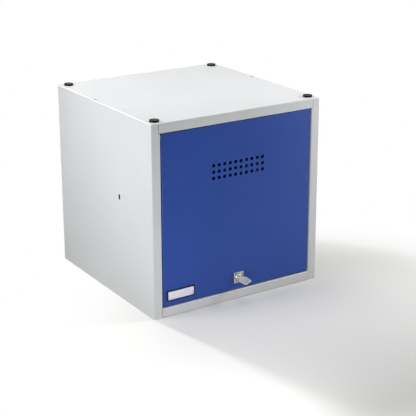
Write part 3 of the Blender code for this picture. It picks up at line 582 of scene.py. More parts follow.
class Graph:
    """Adds nodes to one tree and links them."""

    def __init__(self, tree: NodeTree) -> None:
        """Keeps the tree that the nodes go into."""
        self.tree = tree

    def add(self, kind: str, **settings: object) -> Node:
        """Adds a node.

        Args:
            kind: The node's type.
            settings: Its properties.

        Returns:
            The new node.
        """
        node = self.tree.nodes.new(kind)
        for name, value in settings.items():
            setattr(node, name, value)
        return node

    def feed(self, socket: NodeSocket, value: object) -> None:
        """Links a socket to an input, or sets the input's own value.

        Args:
            socket: The input.
            value: The socket that feeds it, or its value.
        """
        if isinstance(value, NodeSocket):
            self.tree.links.new(value, socket)
        else:
            socket.default_value = value

    def math(self, operation: str, first: object, second: object = 0.0,
             clamp: bool = False) -> NodeSocket:
        """Calculates with two values.

        Args:
            operation: The Math node's operation.
            first: Its first value or socket.
            second: Its second value or socket.
            clamp: Whether the result stays between 0 and 1.

        Returns:
            The result's socket.
        """
        node = self.add("ShaderNodeMath", operation=operation, use_clamp=clamp)
        self.feed(node.inputs[0], first)
        self.feed(node.inputs[1], second)
        return node.outputs[0]

    def plus(self, base: object, *shares: tuple[NodeSocket, float]) -> NodeSocket:
        """Adds a share of each of some masks to a value, and clamps the sum.

        Args:
            base: The value or socket that the shares are added to.
            shares: Each mask with the share of it that is added.

        Returns:
            The sum's socket.
        """
        for mask, share in shares:
            base = self.math("ADD", base, self.math("MULTIPLY", mask, share))
        base.node.use_clamp = True
        return base

    def vector(self, operation: str, first: object, second: object) -> NodeSocket:
        """Calculates with two vectors. The result is a number, but for MULTIPLY.

        Args:
            operation: The Vector Math node's operation.
            first: Its first value or socket.
            second: Its second value or socket.

        Returns:
            The result's socket.
        """
        node = self.add("ShaderNodeVectorMath", operation=operation)
        self.feed(node.inputs[0], first)
        self.feed(node.inputs[1], second)
        return node.outputs["Vector" if operation == "MULTIPLY" else "Value"]

    def rays(self) -> tuple[NodeSocket, NodeSocket]:
        """Tells the rays apart.

        Returns:
            Whether a ray comes from the camera, also through film, and whether it is glossy.
        """
        path = self.add("ShaderNodeLightPath").outputs
        return (self.math("MAXIMUM", path["Is Camera Ray"], path["Is Transmission Ray"]),
                path["Is Glossy Ray"])

    def noise(self, vector: NodeSocket, scale: object, detail: float = 2.0,
              roughness: float = 0.5) -> NodeSocket:
        """The value of a noise texture at a place.

        Args:
            vector: The place.
            scale: The noise's scale.
            detail: Its finer octaves.
            roughness: How strong those are.

        Returns:
            The value's socket.
        """
        node = self.add("ShaderNodeTexNoise")
        self.feed(node.inputs["Vector"], vector)
        self.feed(node.inputs["Scale"], scale)
        node.inputs["Detail"].default_value = detail
        node.inputs["Roughness"].default_value = roughness
        return node.outputs["Fac"]

    def spread(self, value: NodeSocket, low: object, high: object,
               to_low: object = 0.0, to_high: object = 1.0) -> NodeSocket:
        """Maps a span of values to another, and clamps it there.

        Args:
            value: The value's socket.
            low: Where the span starts.
            high: Where it ends.
            to_low: What its start becomes.
            to_high: What its end becomes.

        Returns:
            The result's socket.
        """
        node = self.add("ShaderNodeMapRange", interpolation_type="SMOOTHSTEP")
        for name, given in (("Value", value), ("From Min", low), ("From Max", high),
                            ("To Min", to_low), ("To Max", to_high)):
            self.feed(node.inputs[name], given)
        return node.outputs["Result"]

    def blend(self, factor: object, first: object, second: object) -> NodeSocket:
        """Mixes two colours by a factor.

        Args:
            factor: The share of the second.
            first: The first colour or socket.
            second: The second colour or socket.

        Returns:
            The mixed colour's socket.
        """
        node = self.add("ShaderNodeMix", data_type="RGBA")
        self.feed(node.inputs["Factor"], factor)
        colours = [socket for socket in node.inputs if socket.type == "RGBA"]
        for socket, colour in zip(colours, (first, second)):
            given = (*colour, 1) if isinstance(colour, tuple) else colour
            self.feed(socket, given)
        return next(socket for socket in node.outputs if socket.type == "RGBA")

    def effect(self, kind: Effect, **inputs: object) -> Node:
        """Places a shared effect.

        Args:
            kind: The effect.
            inputs: A value or socket for each of its inputs.

        Returns:
            The group's node.
        """
        node = self.add("ShaderNodeGroup", node_tree=EffectShelf.take(kind))
        for name, value in inputs.items():
            self.feed(node.inputs[name], value)
        return node

    def mask(self, kind: Effect, place: NodeSocket, **inputs: object) -> NodeSocket:
        """The mask of a shared effect at a place."""
        return self.effect(kind, Vector=place, **inputs).outputs["Mask"]


class EffectShelf:
    """Builds each shared effect once. The methods named after the effects give their outputs."""

    @classmethod
    def take(cls, kind: Effect) -> NodeTree:
        """The effect's node group, built at its first use.

        Args:
            kind: The effect.

        Returns:
            The group.
        """
        name, inputs = kind.value
        return bpy.data.node_groups.get(name) or cls.make(
            name, inputs, getattr(cls, kind.name.lower()))

    @staticmethod
    def make(name: str, inputs: dict[str, float | None],
             recipe: Callable[[Graph, NodeOutputs], dict[str, NodeSocket]]) -> NodeTree:
        """Builds a node group.

        Args:
            name: The group's name.
            inputs: Each input with its default, None for a vector.
            recipe: Adds the nodes and says which socket each output takes.

        Returns:
            The group.
        """
        tree = bpy.data.node_groups.new(name, "ShaderNodeTree")
        for label, value in inputs.items():
            kind = "NodeSocketVector" if value is None else "NodeSocketFloat"
            socket = tree.interface.new_socket(name=label, in_out="INPUT", socket_type=kind)
            if value is not None:
                socket.default_value = value
        graph = Graph(tree)
        made = recipe(graph, graph.add("NodeGroupInput").outputs)
        for label in made:
            tree.interface.new_socket(name=label, in_out="OUTPUT", socket_type="NodeSocketFloat")
        out = graph.add("NodeGroupOutput")
        for label, socket in made.items():
            graph.feed(out.inputs[label], socket)
        return tree

    @staticmethod
    def peel(graph: Graph, given: NodeOutputs) -> dict[str, NodeSocket]:
        """The low waves of baked powder, with slow changes of tone over the sheet.

        Args:
            graph: The group's graph.
            given: The sockets of the group's inputs.

        Returns:
            The socket that each output takes.
        """
        place, size = given["Vector"], given["Size"]
        waves = graph.noise(place, size, detail=1.0)
        specks = graph.noise(place, graph.math("MULTIPLY", size, 3.3), detail=1.0)
        height = graph.math("ADD", graph.math("MULTIPLY", waves, 0.75),
                            graph.math("MULTIPLY", specks, 0.25))
        tone = graph.noise(place, scale=5.0, detail=5.0, roughness=0.6)
        return {"Height": height, "Tone": graph.spread(tone, low=0.32, high=0.68)}

    @staticmethod
    def mottle(graph: Graph, given: NodeOutputs) -> dict[str, NodeSocket]:
        """Soft clouds, as on plating, paper and moulded plastic."""
        clouds = graph.noise(given["Vector"], given["Size"], detail=4.0, roughness=0.6)
        return {"Mask": graph.spread(clouds, given["Low"], given["High"])}

    @staticmethod
    def dust(graph: Graph, given: NodeOutputs) -> dict[str, NodeSocket]:
        """A thin film that has settled on what faces up.

        Args:
            graph: The group's graph.
            given: The sockets of the group's inputs.

        Returns:
            The socket that each output takes.
        """
        facing_up = graph.add("ShaderNodeSeparateXYZ")
        graph.feed(facing_up.inputs[0], graph.add("ShaderNodeNewGeometry").outputs["Normal"])
        upward = graph.spread(facing_up.outputs["Z"], low=0.55, high=0.98)
        drift = graph.noise(given["Vector"], scale=24.0, detail=6.0, roughness=0.65)
        film = graph.math("MULTIPLY", upward, graph.spread(drift, low=0.3, high=0.75))
        return {"Mask": graph.math("MULTIPLY", film, given["Amount"], True)}

    @staticmethod
    def grain(graph: Graph, given: NodeOutputs) -> dict[str, NodeSocket]:
        """Fine lines along one direction, as on drawn or brushed metal.

        Args:
            graph: The group's graph.
            given: The sockets of the group's inputs.

        Returns:
            The socket that each output takes.
        """
        lines = graph.vector("MULTIPLY", given["Vector"], given["Stretch"])
        tone = graph.noise(lines, scale=0.3, detail=2.0)
        return {"Height": graph.noise(lines, scale=1.0, detail=3.0, roughness=0.6),
                "Tone": graph.spread(tone, low=0.3, high=0.7)}

    @staticmethod
    def touch(graph: Graph, given: NodeOutputs) -> dict[str, NodeSocket]:
        """Marks of fingers round a place that is often touched.

        Args:
            graph: The group's graph.
            given: The sockets of the group's inputs.

        Returns:
            The socket that each output takes.
        """
        away = graph.vector("DISTANCE", given["Vector"], given["Centre"])
        close = graph.spread(away, low=0.0, high=given["Reach"], to_low=1.0, to_high=0.0)
        prints = graph.noise(given["Vector"], scale=95.0, detail=3.0, roughness=0.55)
        prints = graph.spread(prints, low=0.42, high=0.62)
        return {"Mask": graph.math("MULTIPLY", close, prints)}

    @staticmethod
    def rub(graph: Graph, given: NodeOutputs) -> dict[str, NodeSocket]:
        """Bright lines where an edge has rubbed.

        Args:
            graph: The group's graph.
            given: The sockets of the group's inputs.

        Returns:
            The socket that each output takes.
        """
        rounded = graph.add("ShaderNodeBevel", samples=4)
        graph.feed(rounded.inputs["Radius"], given["Width"])
        alike = graph.vector("DOT_PRODUCT", rounded.outputs["Normal"],
                             graph.add("ShaderNodeNewGeometry").outputs["Normal"])
        edge = graph.spread(alike, low=0.97, high=0.85)
        broken = graph.noise(given["Vector"], scale=420.0, detail=4.0, roughness=0.7)
        broken = graph.spread(broken, low=0.3, high=0.6)
        return {"Mask": graph.math("MULTIPLY", edge, broken, True)}


# ---------------------------------------------------------------- finishes


def new_material(name: str) -> tuple[Material, Graph, Node]:
    """A new material with its graph and its Principled shader.

    Args:
        name: The material's name.

    Returns:
        The material, its graph and its shader.
    """
    material = bpy.data.materials.new(name)
    material.use_nodes = True
    return material, Graph(material.node_tree), material.node_tree.nodes["Principled BSDF"]


@dataclass(frozen=True)
class Look:
    """What a finish feeds to its shader, with the depth in metres of a height of 1."""

    colour: NodeSocket
    roughness: NodeSocket
    height: NodeSocket
    depth: float


@dataclass(frozen=True)
class Finish:
    """What every finish has. Each kind of finish says its own look."""

    name: str
    colour: Triple
    roughness: float

    def look(self, graph: Graph, shader: Node, place: NodeSocket) -> Look:
        """What this kind of finish feeds to its shader."""
        raise NotImplementedError(self.name)

    def shade(self, share: float) -> Triple:
        """The finish's colour, made lighter or darker."""
        return tuple(min(1.0, channel * share) for channel in self.colour)

    def build(self) -> Material:
        """Builds the finish.

        Returns:
            The material, with its colour, roughness and relief.
        """
        material, graph, shader = new_material(self.name)
        look = self.look(graph, shader, graph.add("ShaderNodeTexCoord").outputs["Object"])
        graph.feed(shader.inputs["Base Color"], look.colour)
        graph.feed(shader.inputs["Roughness"], look.roughness)
        bump = graph.add("ShaderNodeBump")
        bump.inputs["Distance"].default_value = look.depth
        graph.feed(bump.inputs["Height"], look.height)
        graph.feed(shader.inputs["Normal"], bump.outputs["Normal"])
        return material


@dataclass(frozen=True)
class PowderCoat(Finish):
    """Baked powder paint: low waves, slow changes of tone, settled dust and touch marks."""

    peel_size: float = 700.0
    peel_depth: float = 0.000022
    tone_share: float = 0.965
    dust: float = 0.25
    dust_colour: Triple = (0.66, 0.65, 0.63)
    touched_at: Triple = (0.0, -0.2024, 0.054)
    touched_reach: float = 0.075
    tone_dulls: float = 0.05
    dust_dulls: float = 0.3
    touch_shines: float = 0.10

    def look(self, graph: Graph, shader: Node, place: NodeSocket) -> Look:
        """Paint that is duller under dust and smoother where it is touched.

        Args:
            graph: The material's graph.
            shader: Its Principled shader, which this finish doesn't use.
            place: The Object coordinates.

        Returns:
            What the shader is fed.
        """
        peel = graph.effect(Effect.PEEL, Vector=place, Size=self.peel_size).outputs
        film = graph.mask(Effect.DUST, place, Amount=self.dust)
        marks = graph.mask(Effect.TOUCH, place, Centre=self.touched_at, Reach=self.touched_reach)
        paint = graph.blend(peel["Tone"], self.shade(self.tone_share), self.colour)
        gloss = graph.plus(self.roughness, (peel["Tone"], self.tone_dulls),
                           (film, self.dust_dulls), (marks, -self.touch_shines))
        return Look(graph.blend(film, paint, self.dust_colour), gloss, peel["Height"],
                    self.peel_depth)


@dataclass(frozen=True)
class PlatedMetal(Finish):
    """Plated metal: drawn lines, cloudy plating and edges that rubbing has brightened."""

    cloud_colour: Triple = (0.6, 0.6, 0.62)
    cloud_size: float = 140.0
    stretch: Triple = (900.0, 900.0, 60.0)
    line_depth: float = 0.000006
    rub_share: float = 1.25
    metallic: float = 1.0
    cloud_dulls: float = 0.08
    line_dulls: float = 0.06
    rub_shines: float = 0.08

    def look(self, graph: Graph, shader: Node, place: NodeSocket) -> Look:
        """Metal that is duller in the clouds and smoother where it is rubbed.

        Args:
            graph: The material's graph.
            shader: Its Principled shader.
            place: The Object coordinates.

        Returns:
            What the shader is fed.
        """
        shader.inputs["Metallic"].default_value = self.metallic
        lines = graph.effect(Effect.GRAIN, Vector=place, Stretch=self.stretch).outputs
        clouds = graph.mask(Effect.MOTTLE, place, Size=self.cloud_size)
        rubbed = graph.mask(Effect.RUB, place)
        plating = graph.blend(clouds, self.colour, self.cloud_colour)
        gloss = graph.plus(self.roughness, (clouds, self.cloud_dulls),
                           (lines["Tone"], self.line_dulls), (rubbed, -self.rub_shines))
        return Look(graph.blend(rubbed, plating, self.shade(self.rub_share)), gloss,
                    lines["Height"], self.line_depth)


@dataclass(frozen=True)
class MouldedPlastic(Finish):
    """Moulded plastic or rubber: an eroded mould's texture, faint clouds and some dust."""

    texture_size: float = 1800.0
    texture_depth: float = 0.000015
    cloud_size: float = 220.0
    cloud_share: float = 1.35
    dust: float = 0.15
    dust_colour: Triple = (0.35, 0.33, 0.31)
    cloud_dulls: float = 0.06
    dust_dulls: float = 0.3
    shine: float = 0.5

    def look(self, graph: Graph, shader: Node, place: NodeSocket) -> Look:
        """Plastic that is duller in the clouds and under dust.

        Args:
            graph: The material's graph.
            shader: Its Principled shader.
            place: The Object coordinates.

        Returns:
            What the shader is fed.
        """
        shader.inputs["Specular IOR Level"].default_value = self.shine
        texture = graph.effect(Effect.PEEL, Vector=place, Size=self.texture_size).outputs
        clouds = graph.mask(Effect.MOTTLE, place, Size=self.cloud_size)
        film = graph.mask(Effect.DUST, place, Amount=self.dust)
        body = graph.blend(clouds, self.colour, self.shade(self.cloud_share))
        gloss = graph.plus(self.roughness, (clouds, self.cloud_dulls), (film, self.dust_dulls))
        return Look(graph.blend(film, body, self.dust_colour), gloss, texture["Height"],
                    self.texture_depth)


@dataclass(frozen=True)
class PlainCard(Finish):
    """Blank card: paper fibres and faint clouds."""

    cloud_colour: Triple = (0.74, 0.72, 0.80)
    cloud_size: float = 75.0
    fibres: Triple = (700.0, 700.0, 2200.0)
    fibre_depth: float = 0.00002
    fibre_share: float = 0.93
    fibre_mix: float = 0.25
    fibre_dulls: float = 0.08

    def look(self, graph: Graph, shader: Node, place: NodeSocket) -> Look:
        """Card that is a little darker and duller along its fibres.

        Args:
            graph: The material's graph.
            shader: Its Principled shader, which this finish doesn't use.
            place: The Object coordinates.

        Returns:
            What the shader is fed.
        """
        fibres = graph.effect(Effect.GRAIN, Vector=place, Stretch=self.fibres).outputs
        clouds = graph.mask(Effect.MOTTLE, place, Size=self.cloud_size)
        sheet = graph.blend(clouds, self.colour, self.cloud_colour)
        dark = graph.math("MULTIPLY", fibres["Tone"], self.fibre_mix)
        gloss = graph.plus(self.roughness, (fibres["Tone"], self.fibre_dulls))
        return Look(graph.blend(dark, sheet, self.shade(self.fibre_share)), gloss,
                    fibres["Height"], self.fibre_depth)


@dataclass(frozen=True)
class ClearFilm(Finish):
    """A clear sheet with faint waves and haze."""

    refraction: float = 1.46
    haze_size: float = 180.0
    haze_share: float = 0.97
    haze_dulls: float = 0.05
    wave_size: float = 60.0
    wave_depth: float = 0.00003

    def look(self, graph: Graph, shader: Node, place: NodeSocket) -> Look:
        """Film that is duller in its haze.

        Args:
            graph: The material's graph.
            shader: Its Principled shader.
            place: The Object coordinates.

        Returns:
            What the shader is fed.
        """
        shader.inputs["IOR"].default_value = self.refraction
        shader.inputs["Transmission Weight"].default_value = 1.0
        haze = graph.mask(Effect.MOTTLE, place, Size=self.haze_size)
        gloss = graph.plus(self.roughness, (haze, self.haze_dulls))
        return Look(graph.blend(haze, self.colour, self.shade(self.haze_share)), gloss,
                    graph.noise(place, self.wave_size), self.wave_depth)


class FinishRack:
    """All finishes of the locker, each built once."""

    def __init__(self) -> None:
        """Builds every finish."""
        self.grey = PowderCoat("light_grey_powder", (0.70, 0.715, 0.725), 0.36, dust=0.18,
                               dust_colour=(0.78, 0.77, 0.75)).build()
        self.blue = PowderCoat("gentian_blue_powder", (0.014, 0.066, 0.36), 0.36,
                               tone_share=0.93, dust=0.12).build()
        self.nickel = PlatedMetal("bright_nickel", (0.66, 0.64, 0.60), 0.16,
                                  cloud_colour=(0.58, 0.57, 0.55)).build()
        self.zinc = PlatedMetal("zinc_plating", (0.60, 0.61, 0.64), 0.30,
                                cloud_colour=(0.50, 0.52, 0.58), line_depth=0.00001).build()
        self.key = PlatedMetal("nickel_plated_key", (0.88, 0.86, 0.80), 0.40,
                               cloud_colour=(0.76, 0.74, 0.69), stretch=(800.0, 90.0, 800.0),
                               metallic=0.4).build()
        self.black = MouldedPlastic("black_knob_plastic", (0.004, 0.004, 0.004), 0.34,
                                    dust=0.01, shine=0.18).build()
        self.dish = MouldedPlastic("worn_knob_dish", (0.040, 0.026, 0.022), 0.36,
                                   dust=0.16, dust_colour=(0.20, 0.15, 0.13), shine=0.3).build()
        self.rubber = MouldedPlastic("black_rubber", (0.016, 0.016, 0.016), 0.72,
                                     texture_size=1200.0, dust=0.1).build()
        # The bush's nylon is painted dark brown instead of natural nylon's off-white: painted
        # shade for the dark gap that the bush sits in.
        self.nylon = MouldedPlastic("natural_nylon", (0.17, 0.155, 0.13), 0.46,
                                    cloud_share=0.9, dust=0.05).build()
        self.holder = MouldedPlastic("black_holder_plastic", (0.006, 0.005, 0.007), 0.44,
                                     texture_size=2400.0, dust=0.05, shine=0.25).build()
        self.card = PlainCard("blank_card", (0.86, 0.84, 0.92), 0.75,
                              cloud_colour=(0.80, 0.78, 0.88)).build()
        self.film = ClearFilm("clear_film", (0.97, 0.98, 0.99), 0.04).build()


# ---------------------------------------------------------------- sub-assemblies


@dataclass(frozen=True)
class Assembly:
    """What every sub-assembly works with and does."""

    levels: Levels
    rack: FinishRack

    def build(self) -> None:
        """Makes the pieces and dresses them."""
        raise NotImplementedError(type(self).__name__)


@dataclass(frozen=True)
class CarcassShell(Assembly):
    """The folded wrapper: sides, top, uprights, top rail, stop lips and rear flanges."""

    stop_lip: float = 0.012
    rear_flange: float = 0.012
    seam_width: float = 0.0011
    seam_depth: float = 0.0016
    seam_below_top: float = 0.0028
    seam_from_opening: float = 0.0036
    seam_curve: float = 0.0026
    seam_steps: int = 10
    joining_slot: Pair = (0.008, 0.014)
    joining_slot_at: Pair = (-0.076, 0.248)
    top_slot: Pair = (0.0036, 0.016)
    top_slot_at: Pair = (0.219, 0.039)
    knob_hole: float = 0.0043
    weld_radius: float = 0.0022
    weld_depth: float = 0.00018
    weld_count: int = 6
    weld_steps: int = 20
    weld_from_end: float = 0.045
    weld_from_edge: float = 0.007

    @property
    def reach(self) -> float:
        """How far the cutters at the floor go to each side."""
        return self.levels.opening_half + self.levels.sheet + self.levels.overrun

    def open_end(self, bm: BMesh, face: BMFace, width: float) -> None:
        """Turns an end face into a frame that stays open at the floor.

        Args:
            bm: The wrapper's surface.
            face: The end face.
            width: The frame's width.
        """
        ring = bmesh.ops.inset_individual(bm, faces=[face], thickness=width,
                                          use_even_offset=True)
        low = min(ring["faces"], key=lambda item: item.calc_center_median().z)
        inner = list(face.verts)
        bmesh.ops.delete(bm, geom=[face, low], context="FACES")
        for vert in inner:
            if vert.is_valid and vert.co.z < width + NEAR:
                vert.co.z = 0

    def surface(self) -> BMesh:
        """The sheet's outer surface with every fold rounded.

        Returns:
            The open mesh.
        """
        levels = self.levels
        bm = bmesh.new()
        faces = add_block(bm, (-levels.half_width, levels.front, 0),
                          (levels.half_width, levels.rear, levels.height))
        face_out(bm)
        floor, front, rear = [facing(faces, way) for way in ((0, 0, -1), (0, -1, 0), INWARD)]
        bmesh.ops.delete(bm, geom=[floor], context="FACES")
        self.open_end(bm, front, levels.frame_face)
        self.open_end(bm, rear, self.rear_flange)
        at_front = on_plane(Y, levels.front)
        rim = [edge for edge in bm.edges if edge.is_boundary and at_front(edge)
               and all(abs(v.co.x) < levels.half_width - NEAR for v in edge.verts)]
        _, lip = extrude(bm, rim, (0, levels.frame_return, 0))
        verts, _ = extrude(bm, lip, (0, 0, 0))
        for vert in verts:
            vert.co.x -= math.copysign(self.stop_lip, vert.co.x)
            if near(vert.co.z, levels.opening_top):
                vert.co.z -= self.stop_lip
        face_out(bm)
        return round_off(bm, levels.bend_radius, levels.bend_segments, lambda edge: not all(
            near(abs(v.co.x), levels.opening_half) and near(v.co.z, levels.opening_top)
            for v in edge.verts))

    def seams(self) -> BMesh:
        """The cutter of the seam at each end of the top rail, curved into the opening.

        Returns:
            The closed mesh.
        """
        levels = self.levels
        bm = bmesh.new()
        line = levels.opening_half + self.seam_from_opening
        radius, width = self.seam_curve, self.seam_width
        top = levels.height - self.seam_below_top
        reach = levels.opening_half - levels.overrun
        turn = (line - radius, levels.opening_top + radius - width)
        outer = [(line + width, top),
                 *arc(turn, radius + width, 0, -math.pi / 2, self.seam_steps),
                 (reach, turn[1] - radius - width)]
        inner = [(reach, turn[1] - radius), *arc(turn, radius, -math.pi / 2, 0, self.seam_steps),
                 (line, top)]
        for side in Side:
            add_prism(bm, [(side.value * x, levels.front - levels.overrun, z)
                           for x, z in outer + inner],
                      (0, levels.overrun + self.seam_depth, 0))
        return bm

    def openings(self) -> BMesh:
        """The cutters of the stop lips' ends at the floor and of the knobs' and pins' holes.

        Returns:
            One mesh with them all.
        """
        levels = self.levels
        thick = levels.sheet + levels.overrun * 2
        bm = block((-self.reach, levels.lip_front - levels.bend_radius - levels.sheet,
                    -levels.overrun),
                   (self.reach, levels.lip_front + levels.sheet + levels.overrun,
                    levels.frame_face + levels.fit))
        for side in Side:
            add_rod(bm, levels.pivot(side, levels.opening_half + levels.sheet / 2), ACROSS,
                    levels.pin_radius + levels.fit, thick, SMALL_STEPS)
            for y in (-levels.knob_at, levels.knob_at):
                add_rod(bm, (side.value * levels.knob_at, y, levels.height - levels.sheet / 2),
                        UP, self.knob_hole, thick, SMALL_STEPS)
        return bm

    def slots(self) -> Iterable[BMesh]:
        """The cutters of the joining slots in the sides and the narrow slots in the top.

        Returns:
            A closed mesh for each slot.
        """
        levels = self.levels
        thick = levels.sheet + levels.overrun * 2
        across, upright = (Matrix.Rotation(math.pi / 2, 4, axis) for axis in "ZX")
        for side in Side:
            place = Matrix.Translation((side.value * levels.half_width, *self.joining_slot_at))
            yield moved(stadium(*self.joining_slot, thick), place @ across @ upright)
            x, y = self.top_slot_at
            place = Matrix.Translation((side.value * x, y, levels.height))
            yield moved(stadium(*self.top_slot, thick), place)

    def notch(self) -> BMesh:
        """The cutter of the room for the bottom rail's flange and for the pan.

        Returns:
            The closed mesh.
        """
        levels = self.levels
        return block((-self.reach, levels.front + levels.rail_flange, -levels.overrun),
                     (self.reach, levels.lip_front + levels.overrun,
                      levels.pan_rise - levels.sheet))

    def weld_marks(self) -> BMesh:
        """The cutter of the shallow spot welds that join the rear flanges to the rear sheet.

        Returns:
            One mesh with them all.
        """
        levels = self.levels
        bm = bmesh.new()
        pitch = (levels.height - self.weld_from_end * 2) / (self.weld_count - 1)
        squash = Matrix.Diagonal((1, self.weld_depth / self.weld_radius, 1, 1))
        steps = [pitch * count for count in range(self.weld_count)]
        places = [(side.value * (levels.half_width - self.weld_from_edge),
                   self.weld_from_end + step) for side in Side for step in steps]
        places += [(-levels.half_width + self.weld_from_end + step,
                    levels.height - self.weld_from_edge) for step in steps]
        for x, z in places:
            bmesh.ops.create_uvsphere(bm, u_segments=self.weld_steps,
                                      v_segments=self.weld_steps // 2,
                                      radius=self.weld_radius,
                                      matrix=Matrix.Translation((x, levels.rear, z)) @ squash)
        return bm

    def build(self) -> None:
        """Makes the shell and dresses it."""
        tag = Tag("carcass_shell", "carcass_wrapper", Body.CARCASS, Slot.BODY_PAINT)
        piece = Workpiece(tag, self.surface(), self.rack.grey, recalculate=False)
        piece.thicken(self.levels.sheet).cut(self.seams(), self.openings(), *self.slots(),
                                             self.notch(), self.weld_marks()).dress()


@dataclass(frozen=True)
class BasePan(Assembly):
    """The raised floor, folded in one with the bottom rail and the resting flanges."""

    relief: float = 0.003
    resting_flange: float = 0.007

    def surface(self) -> BMesh:
        """The pan's outer surface with every fold rounded.

        Returns:
            The open mesh.
        """
        levels = self.levels
        half = levels.half_width - levels.sheet - levels.fit
        rear = levels.rear - levels.sheet - levels.fit
        rail_half = levels.opening_half - levels.fit
        bm = bmesh.new()
        matrix = (Matrix.Translation((0, (levels.lip_front + rear) / 2, levels.pan_rise))
                  @ Matrix.Diagonal((half * 2, rear - levels.lip_front, 1, 1)))
        bmesh.ops.create_grid(bm, x_segments=1, y_segments=1, size=0.5, matrix=matrix)
        for place, normal in (((-rail_half, 0, 0), ACROSS), ((rail_half, 0, 0), ACROSS),
                              ((0, levels.lip_front + self.relief, 0), INWARD)):
            bmesh.ops.bisect_plane(bm, geom=[*bm.verts, *bm.edges, *bm.faces], plane_co=place,
                                   plane_no=normal, dist=NEAR)
        notches = [face for face in bm.faces
                   if abs(face.calc_center_median().x) > rail_half
                   and face.calc_center_median().y < levels.lip_front + self.relief]
        bmesh.ops.delete(bm, geom=notches, context="FACES")
        edges = list(filter(on_plane(Y, levels.lip_front), bm.edges))
        for step in ((0, 0, levels.frame_face - levels.pan_rise), (0, -levels.frame_return, 0),
                     (0, 0, -levels.frame_face), (0, levels.rail_flange, 0)):
            _, edges = extrude(bm, edges, step)
        at_rear = on_plane(Y, rear)
        rim = [edge for edge in bm.edges if edge.is_boundary
               and (all(near(abs(v.co.x), half) for v in edge.verts) or at_rear(edge))]
        _, low = extrude(bm, rim, (0, 0, -levels.pan_rise))
        verts, _ = extrude(bm, low, (0, 0, 0))
        for vert in verts:
            if near(abs(vert.co.x), half):
                vert.co.x -= math.copysign(self.resting_flange, vert.co.x)
            if near(vert.co.y, rear):
                vert.co.y -= self.resting_flange
        face_out(bm)
        return round_off(bm, levels.bend_radius, levels.bend_segments)

    def build(self) -> None:
        """Makes the pan and dresses it."""
        tag = Tag("base_pan", "floor_pan", Body.CARCASS, Slot.BODY_PAINT)
        Workpiece(tag, self.surface(), self.rack.grey,
                  recalculate=False).thicken(self.levels.sheet).dress()


@dataclass(frozen=True)
class RearSheet(Assembly):
    """The flat sheet welded inside the rear flanges."""

    edge: float = 0.0002

    def build(self) -> None:
        """Makes the sheet and dresses it."""
        levels = self.levels
        half = levels.half_width - levels.fold_clearance
        back = levels.rear - levels.sheet - levels.fit
        bm = block((-half, back - levels.sheet, levels.pan_rise + levels.fit),
                   (half, back, levels.height - levels.fold_clearance))
        tag = Tag("rear_sheet", "rear_panel", Body.CARCASS, Slot.BODY_PAINT)
        Workpiece(tag, round_off(bm, self.edge, EDGE_BREAK), self.rack.grey).dress()


@dataclass(frozen=True)
class StackingKnobs(Assembly):
    """Four push-in knobs with dished tops."""

    radius: float = 0.011
    height: float = 0.0045
    dish_radius: float = 0.0072
    dish_slope: float = 0.0012
    dish_depth: float = 0.0009
    dish_margin: float = 0.0001
    edge: float = 0.0008
    fine_edge: float = 0.0002
    stem: float = 0.004
    collar: float = 0.0052
    collar_length: float = 0.0015
    tip: float = 0.003
    tip_length: float = 0.0018

    def shape(self) -> BMesh:
        """One knob about +Z, its seat on the origin's plane, with the dish as material 1.

        Returns:
            The closed mesh.
        """
        fit, sheet, top = self.levels.fit, self.levels.sheet, self.height
        under = -sheet - fit
        low = under - self.collar_length
        floor = top - self.dish_depth
        bm = turned([(0, floor), (self.dish_radius - self.dish_slope, floor),
                     (self.dish_radius, top), (self.radius, top), (self.radius, fit),
                     (self.stem, fit), (self.stem, under), (self.collar, under),
                     (self.collar, low), (self.tip, low - self.tip_length),
                     (0, low - self.tip_length)])
        round_off(bm, self.edge, SHOWN_ROUND, lambda edge: all(
            near(v.co.z, top) and near(v.co.xy.length, self.radius) for v in edge.verts))
        round_off(bm, self.fine_edge, EDGE_BREAK)
        for face in bm.faces:
            middle = face.calc_center_median()
            if middle.xy.length < self.dish_radius - self.dish_margin and middle.z > fit:
                face.material_index = 1
        return bm

    def build(self) -> None:
        """Makes the four knobs and dresses them."""
        levels = self.levels
        for end, y in (("front", -levels.knob_at), ("rear", levels.knob_at)):
            for side in Side:
                bm = lay(self.shape(), (side.value * levels.knob_at, y, levels.height), UP)
                tag = Tag(f"knob_{end}_{side.word}", f"stacking_knob_{end}_{side.word}",
                          Body.CARCASS, Slot.KNOB_PLASTIC)
                Workpiece(tag, bm, self.rack.black, self.rack.dish).dress()


